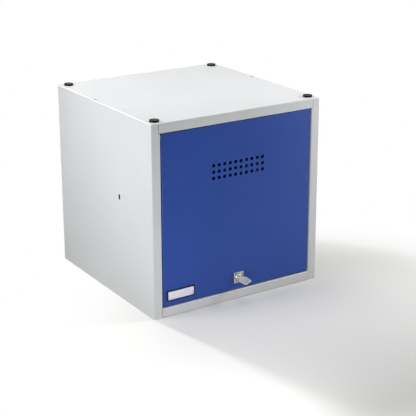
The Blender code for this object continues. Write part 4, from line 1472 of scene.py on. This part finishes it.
@dataclass(frozen=True)
class FlapTray(Assembly):
    """The lift-up flap: a folded tray with punched vents."""

    bend_radius: float = 0.0015
    rear_return: float = 0.010
    vent_columns: int = 10
    vent_rows: int = 3
    vent_pitch: float = 0.0147
    vent_radius: float = 0.0041
    vent_roll: float = 0.00035
    vent_roll_steps: int = 4
    vent_steps: int = 28
    vents_below_top: float = 0.107

    def surface(self) -> BMesh:
        """The tray's outer surface with every fold rounded.

        Returns:
            The open mesh.
        """
        levels = self.levels
        bm = bmesh.new()
        faces = add_block(bm, (-levels.door_half, levels.door_face, levels.door_bottom),
                          (levels.door_half, levels.door_back, levels.door_top))
        face_out(bm)
        rear = facing(faces, INWARD)
        bmesh.ops.inset_individual(bm, faces=[rear], thickness=self.rear_return,
                                   use_even_offset=True)
        bmesh.ops.delete(bm, geom=[rear], context="FACES")
        return round_off(bm, self.bend_radius, levels.bend_segments)

    def vents(self) -> BMesh:
        """The cutter of the vents, each with the punch's rolled edge.

        Returns:
            One mesh with them all.
        """
        levels, roll = self.levels, self.vent_roll
        wide = self.vent_radius + roll
        edge = arc((wide, roll), roll, -math.pi / 2, -math.pi, self.vent_roll_steps)
        over = levels.overrun
        bm = turned([(0, -over), (wide, -over), *edge, (self.vent_radius, levels.sheet + over),
                     (0, levels.sheet + over)], self.vent_steps)
        first = -(self.vent_columns - 1) / 2 * self.vent_pitch
        low = levels.door_top - self.vents_below_top - (self.vent_rows - 1) / 2 * self.vent_pitch
        lay(bm, (first, levels.door_face, low), INWARD)
        return repeat(bm, [(column * self.vent_pitch, 0, row * self.vent_pitch)
                           for column in range(self.vent_columns)
                           for row in range(self.vent_rows) if column or row])

    def holes(self) -> BMesh:
        """The cutters of the lock's hole and of the bushes' holes in the side walls.

        Returns:
            One mesh with them all.
        """
        levels = self.levels
        thick = levels.sheet + levels.overrun
        bm = rod((0, levels.door_face + levels.sheet / 2, levels.lock_z), INWARD,
                 levels.barrel_radius + levels.fit, thick)
        for side in Side:
            add_rod(bm, levels.pivot(side, levels.door_half - levels.sheet / 2), ACROSS,
                    levels.pin_radius + levels.fit * 2 + levels.bush_wall, thick, SMALL_STEPS)
        return bm

    def build(self) -> None:
        """Makes the flap and dresses it."""
        tag = Tag("flap_tray", "door_panel", Body.FLAP, Slot.DOOR_PAINT)
        piece = Workpiece(tag, self.surface(), self.rack.blue, recalculate=False)
        piece.thicken(self.levels.sheet).cut(self.vents(), self.holes()).dress()


@dataclass(frozen=True)
class Pivots(Assembly):
    """The brackets, pins and bushes that the flap turns on, and the buffers it rests on."""

    bracket_sheet: float = 0.002
    bracket_bend: float = 0.003
    bracket_height: float = 0.026
    bracket_arm: float = 0.015
    bracket_foot: float = 0.014
    pin_reach: float = 0.006
    pin_edge: float = 0.0003
    head_radius: float = 0.0045
    head_length: float = 0.002
    dome_share: float = 0.7
    dome_steps: int = 8
    bush_flange: float = 0.0055
    bush_reach: float = 0.004
    bush_edge: float = 0.0002
    door_gap: float = 0.0025
    buffer_radius: float = 0.004
    buffer_edge: float = 0.0007
    buffer_at: Pair = (0.196, 0.062)

    def bracket(self, side: Side) -> None:
        """Makes the angle that backs an upright's return.

        Args:
            side: The side that it is on.
        """
        levels = self.levels
        x = levels.opening_half + levels.sheet + levels.fit
        y = levels.front + levels.fold_clearance + levels.fit
        foot = levels.pivot_z - self.bracket_height / 2
        bm = bmesh.new()
        verts = [bm.verts.new((side.value * u, v, foot)) for u, v in
                 ((x, y), (x, y + self.bracket_arm),
                  (x + self.bracket_foot, y + self.bracket_arm))]
        extrude(bm, [bm.edges.new(pair) for pair in zip(verts, verts[1:])],
                (0, 0, self.bracket_height))
        face_out(bm)
        if next(iter(bm.faces)).normal.dot(Vector((-side.value, 1, 0))) < 0:
            bmesh.ops.reverse_faces(bm, faces=bm.faces)
        round_off(bm, self.bracket_bend, levels.bend_segments)
        hole = rod(levels.pivot(side, x + self.bracket_sheet / 2), ACROSS,
                   levels.pin_radius + levels.fit, self.bracket_sheet + levels.overrun * 2)
        tag = Tag(f"pivot_bracket_{side.word}", f"hinge_bracket_{side.word}", Body.CARCASS,
                  Slot.ZINC_STEEL)
        piece = Workpiece(tag, bm, self.rack.zinc, recalculate=False)
        piece.thicken(self.bracket_sheet).cut(hole).dress()

    def pin(self, side: Side) -> None:
        """Makes a riveted pin, its domed head inside the upright.

        Args:
            side: The side that it is on.
        """
        levels = self.levels
        inner = levels.door_half - self.pin_reach
        seat = levels.opening_half + levels.sheet + self.bracket_sheet + levels.fit * 2 - inner
        top = seat + self.head_length
        dome = [(self.head_radius * math.cos(turn),
                 top - self.head_length * self.dome_share * (1 - math.sin(turn)))
                for turn in (math.pi / 2 * step / self.dome_steps
                             for step in range(self.dome_steps))]
        bm = turned([(0, 0), (levels.pin_radius, 0), (levels.pin_radius, seat),
                     (self.head_radius, seat), *dome, (0, top)], SMALL_STEPS)
        lay(round_off(bm, self.pin_edge, EDGE_BREAK), levels.pivot(side, inner),
            (side.value, 0, 0))
        tag = Tag(f"pivot_pin_{side.word}", f"hinge_pin_{side.word}", Body.CARCASS,
                  Slot.ZINC_STEEL)
        Workpiece(tag, bm, self.rack.zinc).dress()

    def bush(self, side: Side) -> None:
        """Makes a flanged bush in the flap's side wall.

        Args:
            side: The side that it is on.
        """
        levels = self.levels
        bore = levels.pin_radius + levels.fit
        wall = bore + levels.bush_wall
        reach = self.bush_reach + levels.fit
        end = reach + self.door_gap - levels.fit * 2
        bm = turned([(bore, 0), (bore, end), (self.bush_flange, end), (self.bush_flange, reach),
                     (wall, reach), (wall, 0)], SMALL_STEPS)
        lay(round_off(bm, self.bush_edge, EDGE_BREAK),
            levels.pivot(side, levels.door_half - self.bush_reach), (side.value, 0, 0))
        tag = Tag(f"pivot_bush_{side.word}", f"hinge_bush_{side.word}", Body.FLAP, Slot.NYLON)
        Workpiece(tag, bm, self.rack.nylon).dress()

    def buffer(self, side: Side) -> None:
        """Makes a domed rubber buffer on an upright's lip.

        Args:
            side: The side that it is on.
        """
        levels = self.levels
        length = levels.lip_front - levels.door_back - levels.fit * 2
        x, z = self.buffer_at
        bm = turned([(0, 0), (self.buffer_radius, 0), (self.buffer_radius, length),
                     (0, length)], SMALL_STEPS)
        lay(round_off(bm, self.buffer_edge, SHOWN_ROUND, on_plane(Z, length)),
            (side.value * x, levels.lip_front - levels.fit, z), (0, -1, 0))
        tag = Tag(f"flap_buffer_{side.word}", f"door_buffer_{side.word}", Body.CARCASS,
                  Slot.RUBBER)
        Workpiece(tag, bm, self.rack.rubber).dress()

    def build(self) -> None:
        """Makes the parts of both sides and dresses them."""
        for side in Side:
            self.bracket(side)
            self.pin(side)
            self.bush(side)
            self.buffer(side)


@dataclass(frozen=True)
class LabelHolder(Assembly):
    """The raised black frame with a blank card behind a clear film."""

    left: float = -0.1908
    low: float = 0.0369
    width: float = 0.073
    height: float = 0.025
    rise: float = 0.0022
    border: float = 0.0027
    pocket_depth: float = 0.0014
    pocket_margin: float = 0.0009
    corner: float = 0.0016
    corner_strips: int = 5
    window_corner: float = 0.0008
    edge: float = 0.0005
    card: float = 0.0004
    film: float = 0.0004

    def slab(self, margin: float, front: float, back: float, corner: float = 0.0
             ) -> BMesh:
        """A slab on the holder's middle.

        Args:
            margin: How far it stays inside the holder's outline.
            front: Its front face, on y.
            back: Its rear face.
            corner: The radius of its four corners.

        Returns:
            The closed mesh.
        """
        bm = block((self.left + margin, front, self.low + margin),
                   (self.left + self.width - margin, back, self.low + self.height - margin))
        return round_off(bm, corner, self.corner_strips, runs_along(Y)) if corner else bm

    def build(self) -> None:
        """Makes the frame, the card and the film and dresses them."""
        levels = self.levels
        back = levels.door_face - levels.fit
        front = levels.door_face - self.rise
        pocket = self.border - self.pocket_margin
        frame = round_off(self.slab(0, front, back, self.corner), self.edge, SMALL_ROUND,
                          on_plane(Y, front))
        piece = Workpiece(Tag("label_holder", "label_frame", Body.FLAP, Slot.LABEL_PLASTIC),
                          frame, self.rack.holder)
        piece.cut(self.slab(self.border, front - levels.overrun, back + levels.overrun,
                            self.window_corner),
                  self.slab(pocket, back - self.pocket_depth, back + levels.overrun)).dress()
        card = self.slab(pocket + levels.fit, back - self.card, back)
        Workpiece(Tag("label_insert", "label_card", Body.FLAP, Slot.CARD), card,
                  self.rack.card).dress()
        film_back = back - self.card - levels.fit
        film = self.slab(pocket + levels.fit, film_back - self.film, film_back)
        Workpiece(Tag("label_film", "label_window", Body.FLAP, Slot.CLEAR_PLASTIC), film,
                  self.rack.film).dress()


@dataclass(frozen=True)
class CamLock(Assembly):
    """The lock's head and barrel with its nut, plug, stop washer, cam and screw."""

    head_size: float = 0.026
    head_rise: float = 0.0042
    head_corner: float = 0.0016
    head_edge: float = 0.0009
    head_rim: float = 0.0024
    field_draft: float = 0.0003
    field_corner: float = 0.0008
    head_floor: float = 0.0012
    boss_base: float = 0.0103
    boss_radius: float = 0.0078
    boss_edge: float = 0.0007
    thread_pitch: float = 0.001
    thread_depth: float = 0.0004
    thread_shares: Pair = (0.45, 0.9)
    thread_end: float = 0.0006
    barrel_edge: float = 0.0004
    plug_radius: float = 0.006
    plug_edge: float = 0.0004
    drive_edge: float = 0.0003
    nut_sides: int = 6
    nut_radius: float = 0.0135
    nut_length: float = 0.004
    nut_face_inset: float = 0.0012
    nut_corner_reach: float = 0.0004
    nut_chamfer: float = 0.0009
    washer_radius: float = 0.0085
    washer_thickness: float = 0.0012
    washer_edge: float = 0.00015
    tab_width: float = 0.006
    tab_reach: float = 0.0105
    tab_inset: float = 0.00005
    cam_eye: float = 0.009
    cam_tip: float = 0.006
    cam_reach: float = 0.038
    cam_edge: float = 0.00025
    cam_eye_steps: int = 32
    cam_tip_steps: int = 16
    screw_radius: float = 0.0017
    screw_length: float = 0.0068
    screw_head: float = 0.006
    screw_head_length: float = 0.002
    screw_edge: float = 0.0009
    cross: Pair = (0.0032, 0.0005)
    cross_depth: float = 0.0012
    key_slot: Pair = (0.00135, 0.0041)
    key_slot_depth: float = 0.0223

    @property
    def head_front(self) -> float:
        """The front of the head, on y."""
        return self.levels.door_face - self.head_rise

    @property
    def body_start(self) -> float:
        """Where the boss and the barrel begin inside the head's floor."""
        return self.levels.door_face - self.levels.fit - self.head_floor / 2

    @property
    def screw_seat(self) -> float:
        """The rear face of the cam, where the screw's head sits."""
        return self.levels.cam_back + self.levels.fit

    def lay(self, bm: BMesh) -> BMesh:
        """Puts a mesh that was turned about +Z on the lock's axis, with z as its y."""
        return lay(bm, (0, 0, self.levels.lock_z), INWARD)

    def barrel(self, radius: float, start: float, end: float, steps: int = ROUND_STEPS
               ) -> BMesh:
        """A closed cylinder on the lock's axis between two places on y."""
        return rod((0, (start + end) / 2, self.levels.lock_z), INWARD, radius, end - start, steps)

    def bore(self, radius: float, start: float, end: float) -> BMesh:
        """The cutter of a round hole through what lies between two places on y."""
        over = self.levels.overrun
        return self.barrel(radius + self.levels.fit, start - over, end + over)

    def square(self, size: float, start: float, end: float) -> BMesh:
        """A square bar on the lock's axis between two places on y."""
        z = self.levels.lock_z
        return block((-size / 2, start, z - size / 2), (size / 2, end, z + size / 2))

    def turn(self, bm: BMesh) -> BMesh:
        """Turns a mesh of the plug to its place at rest."""
        return moved(bm, self.levels.lock_turn)

    def drive_hole(self, start: float, end: float) -> BMesh:
        """The cutter of the square hole in what the plug's drive square turns.

        Args:
            start: The front of what is cut, on y.
            end: Its rear.

        Returns:
            The closed mesh, turned to its place at rest.
        """
        levels = self.levels
        return self.turn(self.square(levels.drive_size + levels.fit * 2, start - levels.overrun,
                                     end + levels.overrun))

    def head(self) -> BMesh:
        """The square head with rounded corners and front edges.

        Returns:
            The closed mesh.
        """
        bm = self.square(self.head_size, self.head_front, self.levels.door_face - self.levels.fit)
        round_off(bm, self.head_corner, SHOWN_ROUND, runs_along(Y))
        return round_off(bm, self.head_edge, SHOWN_ROUND, on_plane(Y, self.head_front))

    def field(self) -> BMesh:
        """The cutter of the head's sunk field, drawn in a little at its floor.

        Returns:
            The closed mesh.
        """
        levels = self.levels
        floor = levels.door_face - levels.fit - self.head_floor
        size = self.head_size - self.head_rim * 2
        bm = self.square(size, self.head_front - levels.overrun, floor)
        shrink = 1 - self.field_draft * 2 / size
        bmesh.ops.scale(bm, vec=(shrink, 1, shrink), verts=[v for v in bm.verts
                                                            if near(v.co.y, floor)],
                        space=Matrix.Translation((0, 0, -levels.lock_z)))
        return round_off(bm, self.field_corner, SMALL_ROUND, lambda edge: not near(
            edge.verts[0].co.y, edge.verts[1].co.y))

    def boss(self) -> BMesh:
        """The cone round the plug, with a rounded nose.

        Returns:
            The closed mesh.
        """
        front, back = self.levels.boss_front, self.body_start
        bm = turned([(0, front), (self.boss_radius, front), (self.boss_base, back), (0, back)])
        return self.lay(round_off(bm, self.boss_edge, SHOWN_ROUND, on_plane(Z, front)))

    def thread(self) -> BMesh:
        """The barrel with the grooves of its thread.

        Returns:
            The closed mesh.
        """
        levels = self.levels
        radius, back = levels.barrel_radius, levels.barrel_back
        first = levels.door_face + levels.sheet
        count = int((back - self.thread_end - first) / self.thread_pitch)
        profile = [(0, self.body_start), (radius, self.body_start)]
        bottom, top = self.thread_shares
        for number in range(count):
            z = first + number * self.thread_pitch
            profile += [(radius, z),
                        (radius - self.thread_depth, z + self.thread_pitch * bottom),
                        (radius, z + self.thread_pitch * top)]
        profile += [(radius, back - self.barrel_edge), (radius - self.barrel_edge, back),
                    (0, back)]
        return self.lay(turned(profile))

    def nut_chamfers(self, start: float, end: float) -> BMesh:
        """The turned shape that takes off the nut's corners at both faces.

        Args:
            start: The nut's front face, on y.
            end: Its rear face.

        Returns:
            The closed mesh.
        """
        face = self.nut_radius - self.nut_face_inset
        corner = self.nut_radius + self.nut_corner_reach
        return self.lay(turned([(0, start), (face, start), (corner, start + self.nut_chamfer),
                                (corner, end - self.nut_chamfer), (face, end), (0, end)]))

    def build_body(self) -> None:
        """Makes the head with its boss and barrel, and the nut that clamps them."""
        levels = self.levels
        tag = Tag("lock_body", "lock_housing", Body.FLAP, Slot.NICKEL)
        piece = Workpiece(tag, self.head(), self.rack.nickel)
        piece.cut(self.field()).combine(self.boss(), Job.JOIN).combine(self.thread(), Job.JOIN)
        piece.cut(self.bore(self.plug_radius, levels.boss_front, levels.barrel_back)).dress()
        start = levels.door_face + levels.sheet + levels.fit
        end = start + self.nut_length
        tag = Tag("clamp_nut", "lock_nut", Body.FLAP, Slot.ZINC_STEEL)
        piece = Workpiece(tag, self.barrel(self.nut_radius, start, end, self.nut_sides),
                          self.rack.zinc)
        piece.combine(self.nut_chamfers(start, end), Job.TRIM)
        piece.cut(self.bore(levels.barrel_radius, start, end)).dress()

    def build_plug(self) -> None:
        """Makes the turning plug with its keyway, drive square and screw hole."""
        levels = self.levels
        front, back = levels.boss_front, levels.barrel_back
        bm = turned([(0, front), (self.plug_radius, front), (self.plug_radius, back), (0, back)])
        round_off(bm, self.plug_edge, SMALL_ROUND)
        tag = Tag("lock_cylinder", "lock_plug", Body.PLUG, Slot.NICKEL)
        piece = Workpiece(tag, self.turn(self.lay(bm)), self.rack.nickel)
        drive = self.square(levels.drive_size, back - levels.overrun,
                            levels.cam_back - levels.fit)
        piece.combine(self.turn(round_off(drive, self.drive_edge, EDGE_BREAK)), Job.JOIN)
        hole = self.barrel(self.screw_radius + levels.fit,
                           self.screw_seat - self.screw_length - levels.fit,
                           levels.cam_back + levels.overrun, SMALL_STEPS)
        x, z = self.key_slot
        keyway = block((-x, front - levels.overrun, levels.lock_z - z),
                       (x, front + self.key_slot_depth, levels.lock_z + z))
        piece.cut(hole, self.turn(keyway)).dress()

    def build_washer(self) -> None:
        """Makes the stop washer with its tab."""
        levels = self.levels
        start = levels.cam_front - levels.fit - self.washer_thickness
        end = start + self.washer_thickness
        tag = Tag("stop_washer", "lock_stop_washer", Body.PLUG, Slot.ZINC_STEEL)
        disc = round_off(self.barrel(self.washer_radius, start, end), self.washer_edge,
                         EDGE_BREAK)
        piece = Workpiece(tag, self.turn(disc), self.rack.zinc)
        ear = block((-self.tab_width / 2, start + self.tab_inset, levels.lock_z),
                    (self.tab_width / 2, end - self.tab_inset, levels.lock_z + self.tab_reach))
        piece.combine(self.turn(round_off(ear, self.washer_edge, EDGE_BREAK)), Job.JOIN)
        piece.cut(self.drive_hole(start, end)).dress()

    def build_cam(self) -> None:
        """Makes the stamped cam."""
        levels = self.levels
        front, back = levels.cam_front, levels.cam_back
        spread = math.acos((self.cam_eye - self.cam_tip) / (self.cam_reach - self.cam_tip))
        down = -math.pi / 2
        eye = arc((0, 0), self.cam_eye, down + spread, down + math.tau - spread,
                  self.cam_eye_steps)
        tip = arc((0, self.cam_tip - self.cam_reach), self.cam_tip, down - spread,
                  down + spread, self.cam_tip_steps)
        bm = bmesh.new()
        add_prism(bm, [(x, front, levels.lock_z + z) for x, z in eye + tip],
                  (0, back - front, 0))
        tag = Tag("locking_cam", "lock_cam", Body.PLUG, Slot.ZINC_STEEL)
        piece = Workpiece(tag, self.turn(round_off(bm, self.cam_edge, EDGE_BREAK)),
                          self.rack.zinc)
        piece.cut(self.drive_hole(front, back)).dress()

    def build_screw(self) -> None:
        """Makes the screw that holds the cam, with a cross in its head."""
        seat, z = self.screw_seat, self.levels.lock_z
        end, top = seat - self.screw_length, seat + self.screw_head_length
        bm = turned([(0, end), (self.screw_radius, end), (self.screw_radius, seat),
                     (self.screw_head, seat), (self.screw_head, top), (0, top)])
        round_off(bm, self.screw_edge, SHOWN_ROUND, on_plane(Z, top))
        tag = Tag("cam_fixing_screw", "cam_screw", Body.PLUG, Slot.ZINC_STEEL)
        piece = Workpiece(tag, self.lay(bm), self.rack.zinc)
        for wide, high in (self.cross, self.cross[::-1]):
            slot = block((-wide, top - self.cross_depth, z - high),
                         (wide, top + self.levels.overrun, z + high))
            piece.cut(self.turn(slot))
        piece.dress()

    def build(self) -> None:
        """Makes every part of the lock and dresses it."""
        self.build_body()
        self.build_plug()
        self.build_washer()
        self.build_cam()
        self.build_screw()


@dataclass(frozen=True)
class FlatKey(Assembly):
    """The flat key: a cut blade, a neck and a bow with a hole and sunk faces."""

    thickness: float = 0.0021
    blade_width: float = 0.0076
    blade_length: float = 0.022
    blade_point: float = 0.003
    cut_depth: float = 0.0016
    cut_shares: tuple[float, ...] = (1, 0.55, 0.85, 0.4, 0.7)
    neck_width: float = 0.010
    neck_length: float = 0.007
    bow_width: float = 0.0215
    bow_end_width: float = 0.018
    bow_shoulder: float = 0.008
    shoulder_share: float = 0.45
    shoulder_drop: float = 0.0012
    bow_length: float = 0.031
    bow_corner: float = 0.0035
    bow_corner_steps: int = 6
    hole_radius: float = 0.0027
    hole_from_end: float = 0.0085
    hole_steps: int = 40
    edge: float = 0.0003
    panel_margin: float = 0.0026
    panel_start: float = 0.0046
    panel_slope: float = 0.005
    panel_share: float = 0.72
    panel_corner: float = 0.0015
    panel_depth: float = 0.00025
    groove_width: float = 0.0014
    groove_depth: float = 0.0005
    groove_low: float = 0.0005

    def outline(self) -> list[tuple[float, float]]:
        """The key's outline as (out from the lock, up) points.

        Returns:
            The points, in order.
        """
        blade, neck = self.blade_width / 2, self.neck_width / 2
        tip = self.blade_length - self.blade_point
        bow, end = self.neck_length, self.neck_length + self.bow_length
        upper = [(-self.blade_length, 0), (-tip, blade), (0, blade), (0, neck), (bow, neck),
                 (bow + self.bow_shoulder * self.shoulder_share,
                  self.bow_width / 2 - self.shoulder_drop),
                 (bow + self.bow_shoulder, self.bow_width / 2)]
        upper += arc((end - self.bow_corner, self.bow_end_width / 2 - self.bow_corner),
                     self.bow_corner, math.pi / 2, 0, self.bow_corner_steps)
        lower = [(out, -up) for out, up in reversed(upper[3:])]
        lower.append((0, -blade))
        pitch = tip / (len(self.cut_shares) + 1)
        for cut, share in enumerate(self.cut_shares):
            middle, depth = -pitch * (cut + 1), self.cut_depth * share
            lower += [(middle + depth, -blade), (middle, depth - blade), (middle - depth, -blade)]
        lower.append((-tip, -blade))
        return upper + lower

    def panel(self, face: float) -> BMesh:
        """The cutter of the sunk field on one face of the bow.

        Args:
            face: The bow's face, on x, with its sign.

        Returns:
            The closed mesh.
        """
        out, middle = self.levels.key_shoulder, self.levels.lock_z
        start = out - self.neck_length - self.panel_start
        end = out - self.neck_length - self.bow_length + self.panel_margin
        low, high = (width / 2 - self.panel_margin for width in
                     (self.bow_width, self.bow_end_width))
        upper = [(end, high), (start - self.panel_slope, low), (start, low * self.panel_share)]
        x = face - math.copysign(self.panel_depth, face)
        bm = bmesh.new()
        add_prism(bm, [(x, y, middle - up) for y, up in reversed(upper)]
                  + [(x, y, middle + up) for y, up in upper],
                  (math.copysign(self.levels.overrun, face), 0, 0))
        return round_off(bm, self.panel_corner, SHOWN_ROUND, runs_along(X))

    def groove(self, side: Side) -> BMesh:
        """The cutter of the groove in one face of the blade.

        Args:
            side: The face, before the key is turned.

        Returns:
            The closed mesh.
        """
        out = self.levels.key_shoulder
        bottom = self.levels.lock_z + self.groove_low
        face = side.value * self.thickness / 2
        low, high = sorted((face - side.value * self.groove_depth,
                            face + side.value * self.levels.overrun))
        return block((low, out - NEAR, bottom),
                     (high, out + self.blade_length - self.blade_point,
                      bottom + self.groove_width))

    def build(self) -> None:
        """Makes the key and dresses it."""
        out, middle, turn = self.levels.key_shoulder, self.levels.lock_z, self.levels.lock_turn
        half = self.thickness / 2
        bm = bmesh.new()
        add_prism(bm, [(-half, out - reach, middle + up) for reach, up in self.outline()],
                  (self.thickness, 0, 0))
        round_off(bm, self.edge, SMALL_ROUND, lambda edge: not near(
            edge.verts[0].co.x, -edge.verts[1].co.x)
            and all(v.co.y < out - NEAR for v in edge.verts))
        piece = Workpiece(Tag("cam_lock_key", "key", Body.KEY, Slot.NICKEL), moved(bm, turn),
                          self.rack.key)
        end = self.neck_length + self.bow_length - self.hole_from_end
        hole = rod((0, out - end, middle), ACROSS, self.hole_radius,
                   self.thickness + self.levels.overrun, self.hole_steps)
        for tool in (hole, self.panel(half), self.panel(-half), *map(self.groove, Side)):
            piece.cut(moved(tool, turn))
        piece.dress()


# ---------------------------------------------------------------- studio


@dataclass(frozen=True)
class Softbox:
    """A square lamp that shines at LAMP_TARGET."""

    name: str
    place: Triple
    size: float
    power: float

    def build(self) -> None:
        """Makes the lamp, which the camera itself doesn't see."""
        data = bpy.data.lights.new(self.name, "AREA")
        data.shape = "SQUARE"
        data.size = self.size
        data.energy = self.power
        lamp = bpy.data.objects.new(self.name, data)
        lamp.location = self.place
        way = Vector(LAMP_TARGET) - Vector(self.place)
        lamp.rotation_euler = way.to_track_quat("-Z", "Y").to_euler()
        lamp.visible_camera = False
        bpy.context.collection.objects.link(lamp)


@dataclass(frozen=True)
class Studio:
    """The pale floor, the lamps, the room's light and the camera."""

    lamps: tuple[Softbox, ...] = (
        Softbox("shadow_lamp", (-0.5, 1.3, 1.5), 0.16, 19.5),
        Softbox("over_softbox", (0.1, -0.1, 1.4), 0.8, 6.2),
        Softbox("left_softbox", (-0.9, -0.14, 0.5), 0.3, 2.9),
        Softbox("rear_left_softbox", (-0.85, 0.06, 0.78), 0.3, 2.4),
        Softbox("front_lamp", (0.9, -0.6, 0.75), 0.26, 7.8),
        Softbox("front_low_softbox", (-0.42, -0.75, 0.08), 0.3, 2.4),
        Softbox("right_low_softbox", (1.0, -0.8, 0.15), 0.3, 1.1),
    )
    room_white: tuple[float, ...] = (1.0, 1.0, 1.0, 1.0)
    room_light: float = 0.03
    room_shine: float = 0.5
    floor_size: float = 16.0
    floor_bounce: float = 0.2
    floor_roughness: float = 0.6
    floor_shine: float = 0.15
    floor_white: Triple = (0.755, 0.75, 0.735)
    white_from: Pair = (0.34, 0.64)
    shadow_middle: Triple = (0.12, -0.44, 0.0)
    camera_place: Triple = (-1.40547, -2.26453, 1.08634)
    camera_right: Triple = (0.84104, -0.54096, -0.00238)
    camera_down: Triple = (-0.16339, -0.24984, -0.95440)
    camera_ahead: Triple = (0.51570, 0.80308, -0.29851)
    lens: float = 100.68
    sensor: float = 36.0
    shift: float = -0.0851
    nearest: float = 0.05

    def floor(self) -> None:
        """Makes the floor, which keeps the locker's shadow and is white further out."""
        bm = bmesh.new()
        bmesh.ops.create_grid(bm, x_segments=1, y_segments=1, size=self.floor_size / 2)
        obj = linked("studio_floor", bm)
        material, graph, shader = new_material("pale_floor")
        shader.inputs["Roughness"].default_value = self.floor_roughness
        shader.inputs["Specular IOR Level"].default_value = self.floor_shine
        seen, glossy = graph.rays()
        graph.feed(shader.inputs["Base Color"], graph.blend(
            graph.math("MAXIMUM", seen, glossy), (self.floor_bounce,) * 3, self.floor_white))
        away = graph.vector("DISTANCE", graph.add("ShaderNodeTexCoord").outputs["Object"],
                            self.shadow_middle)
        far = graph.math("MULTIPLY", graph.spread(away, *self.white_from), seen)
        mixed = graph.add("ShaderNodeMixShader")
        for socket, value in zip(mixed.inputs, (far, shader.outputs[0],
                                                graph.add("ShaderNodeEmission").outputs[0])):
            graph.feed(socket, value)
        output = next(node for node in material.node_tree.nodes
                      if node.type == "OUTPUT_MATERIAL")
        graph.feed(output.inputs["Surface"], mixed.outputs[0])
        obj.data.materials.append(material)

    def world(self) -> None:
        """Makes the room's light: white where it is seen near the floor, plain for the rest."""
        world = bpy.data.worlds.new("studio_room")
        world.use_nodes = True
        bpy.context.scene.world = world
        graph = Graph(world.node_tree)
        background = world.node_tree.nodes["Background"]
        seen, glossy = graph.rays()
        shine = graph.math("MULTIPLY", glossy, self.room_shine)
        strength = graph.math("MAXIMUM", graph.math("MAXIMUM", seen, shine), self.room_light)
        graph.feed(background.inputs["Color"], self.room_white)
        graph.feed(background.inputs["Strength"], strength)

    def camera(self) -> None:
        """Makes the camera that was fitted to the photograph."""
        data = bpy.data.cameras.new("photo_camera")
        data.sensor_width = self.sensor
        data.lens = self.lens
        data.shift_y = self.shift
        data.clip_start = self.nearest
        obj = bpy.data.objects.new("photo_camera", data)
        right, down, ahead = map(Vector, (self.camera_right, self.camera_down,
                                          self.camera_ahead))
        turn = Matrix((right, -down, -ahead)).transposed().to_4x4()
        obj.matrix_world = Matrix.Translation(self.camera_place) @ turn
        bpy.context.collection.objects.link(obj)
        bpy.context.scene.camera = obj

    def build(self) -> None:
        """Makes the whole studio."""
        self.camera()
        self.floor()
        self.world()
        for lamp in self.lamps:
            lamp.build()
        bpy.context.scene.view_settings.view_transform = "Standard"


def main() -> None:
    """Loads the frame, builds the locker from its carcass to its key, and the studio."""
    logging.basicConfig(level=logging.INFO, format="%(message)s")
    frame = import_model()
    levels, rack = Levels(), FinishRack()
    for assembly in (CarcassShell, BasePan, RearSheet, StackingKnobs, FlapTray, Pivots,
                     LabelHolder, CamLock, FlatKey):
        assembly(levels, rack).build()
        LOG.info("%s is done", assembly.__name__)
    Studio().build()


if __name__ == "__main__":
    main()
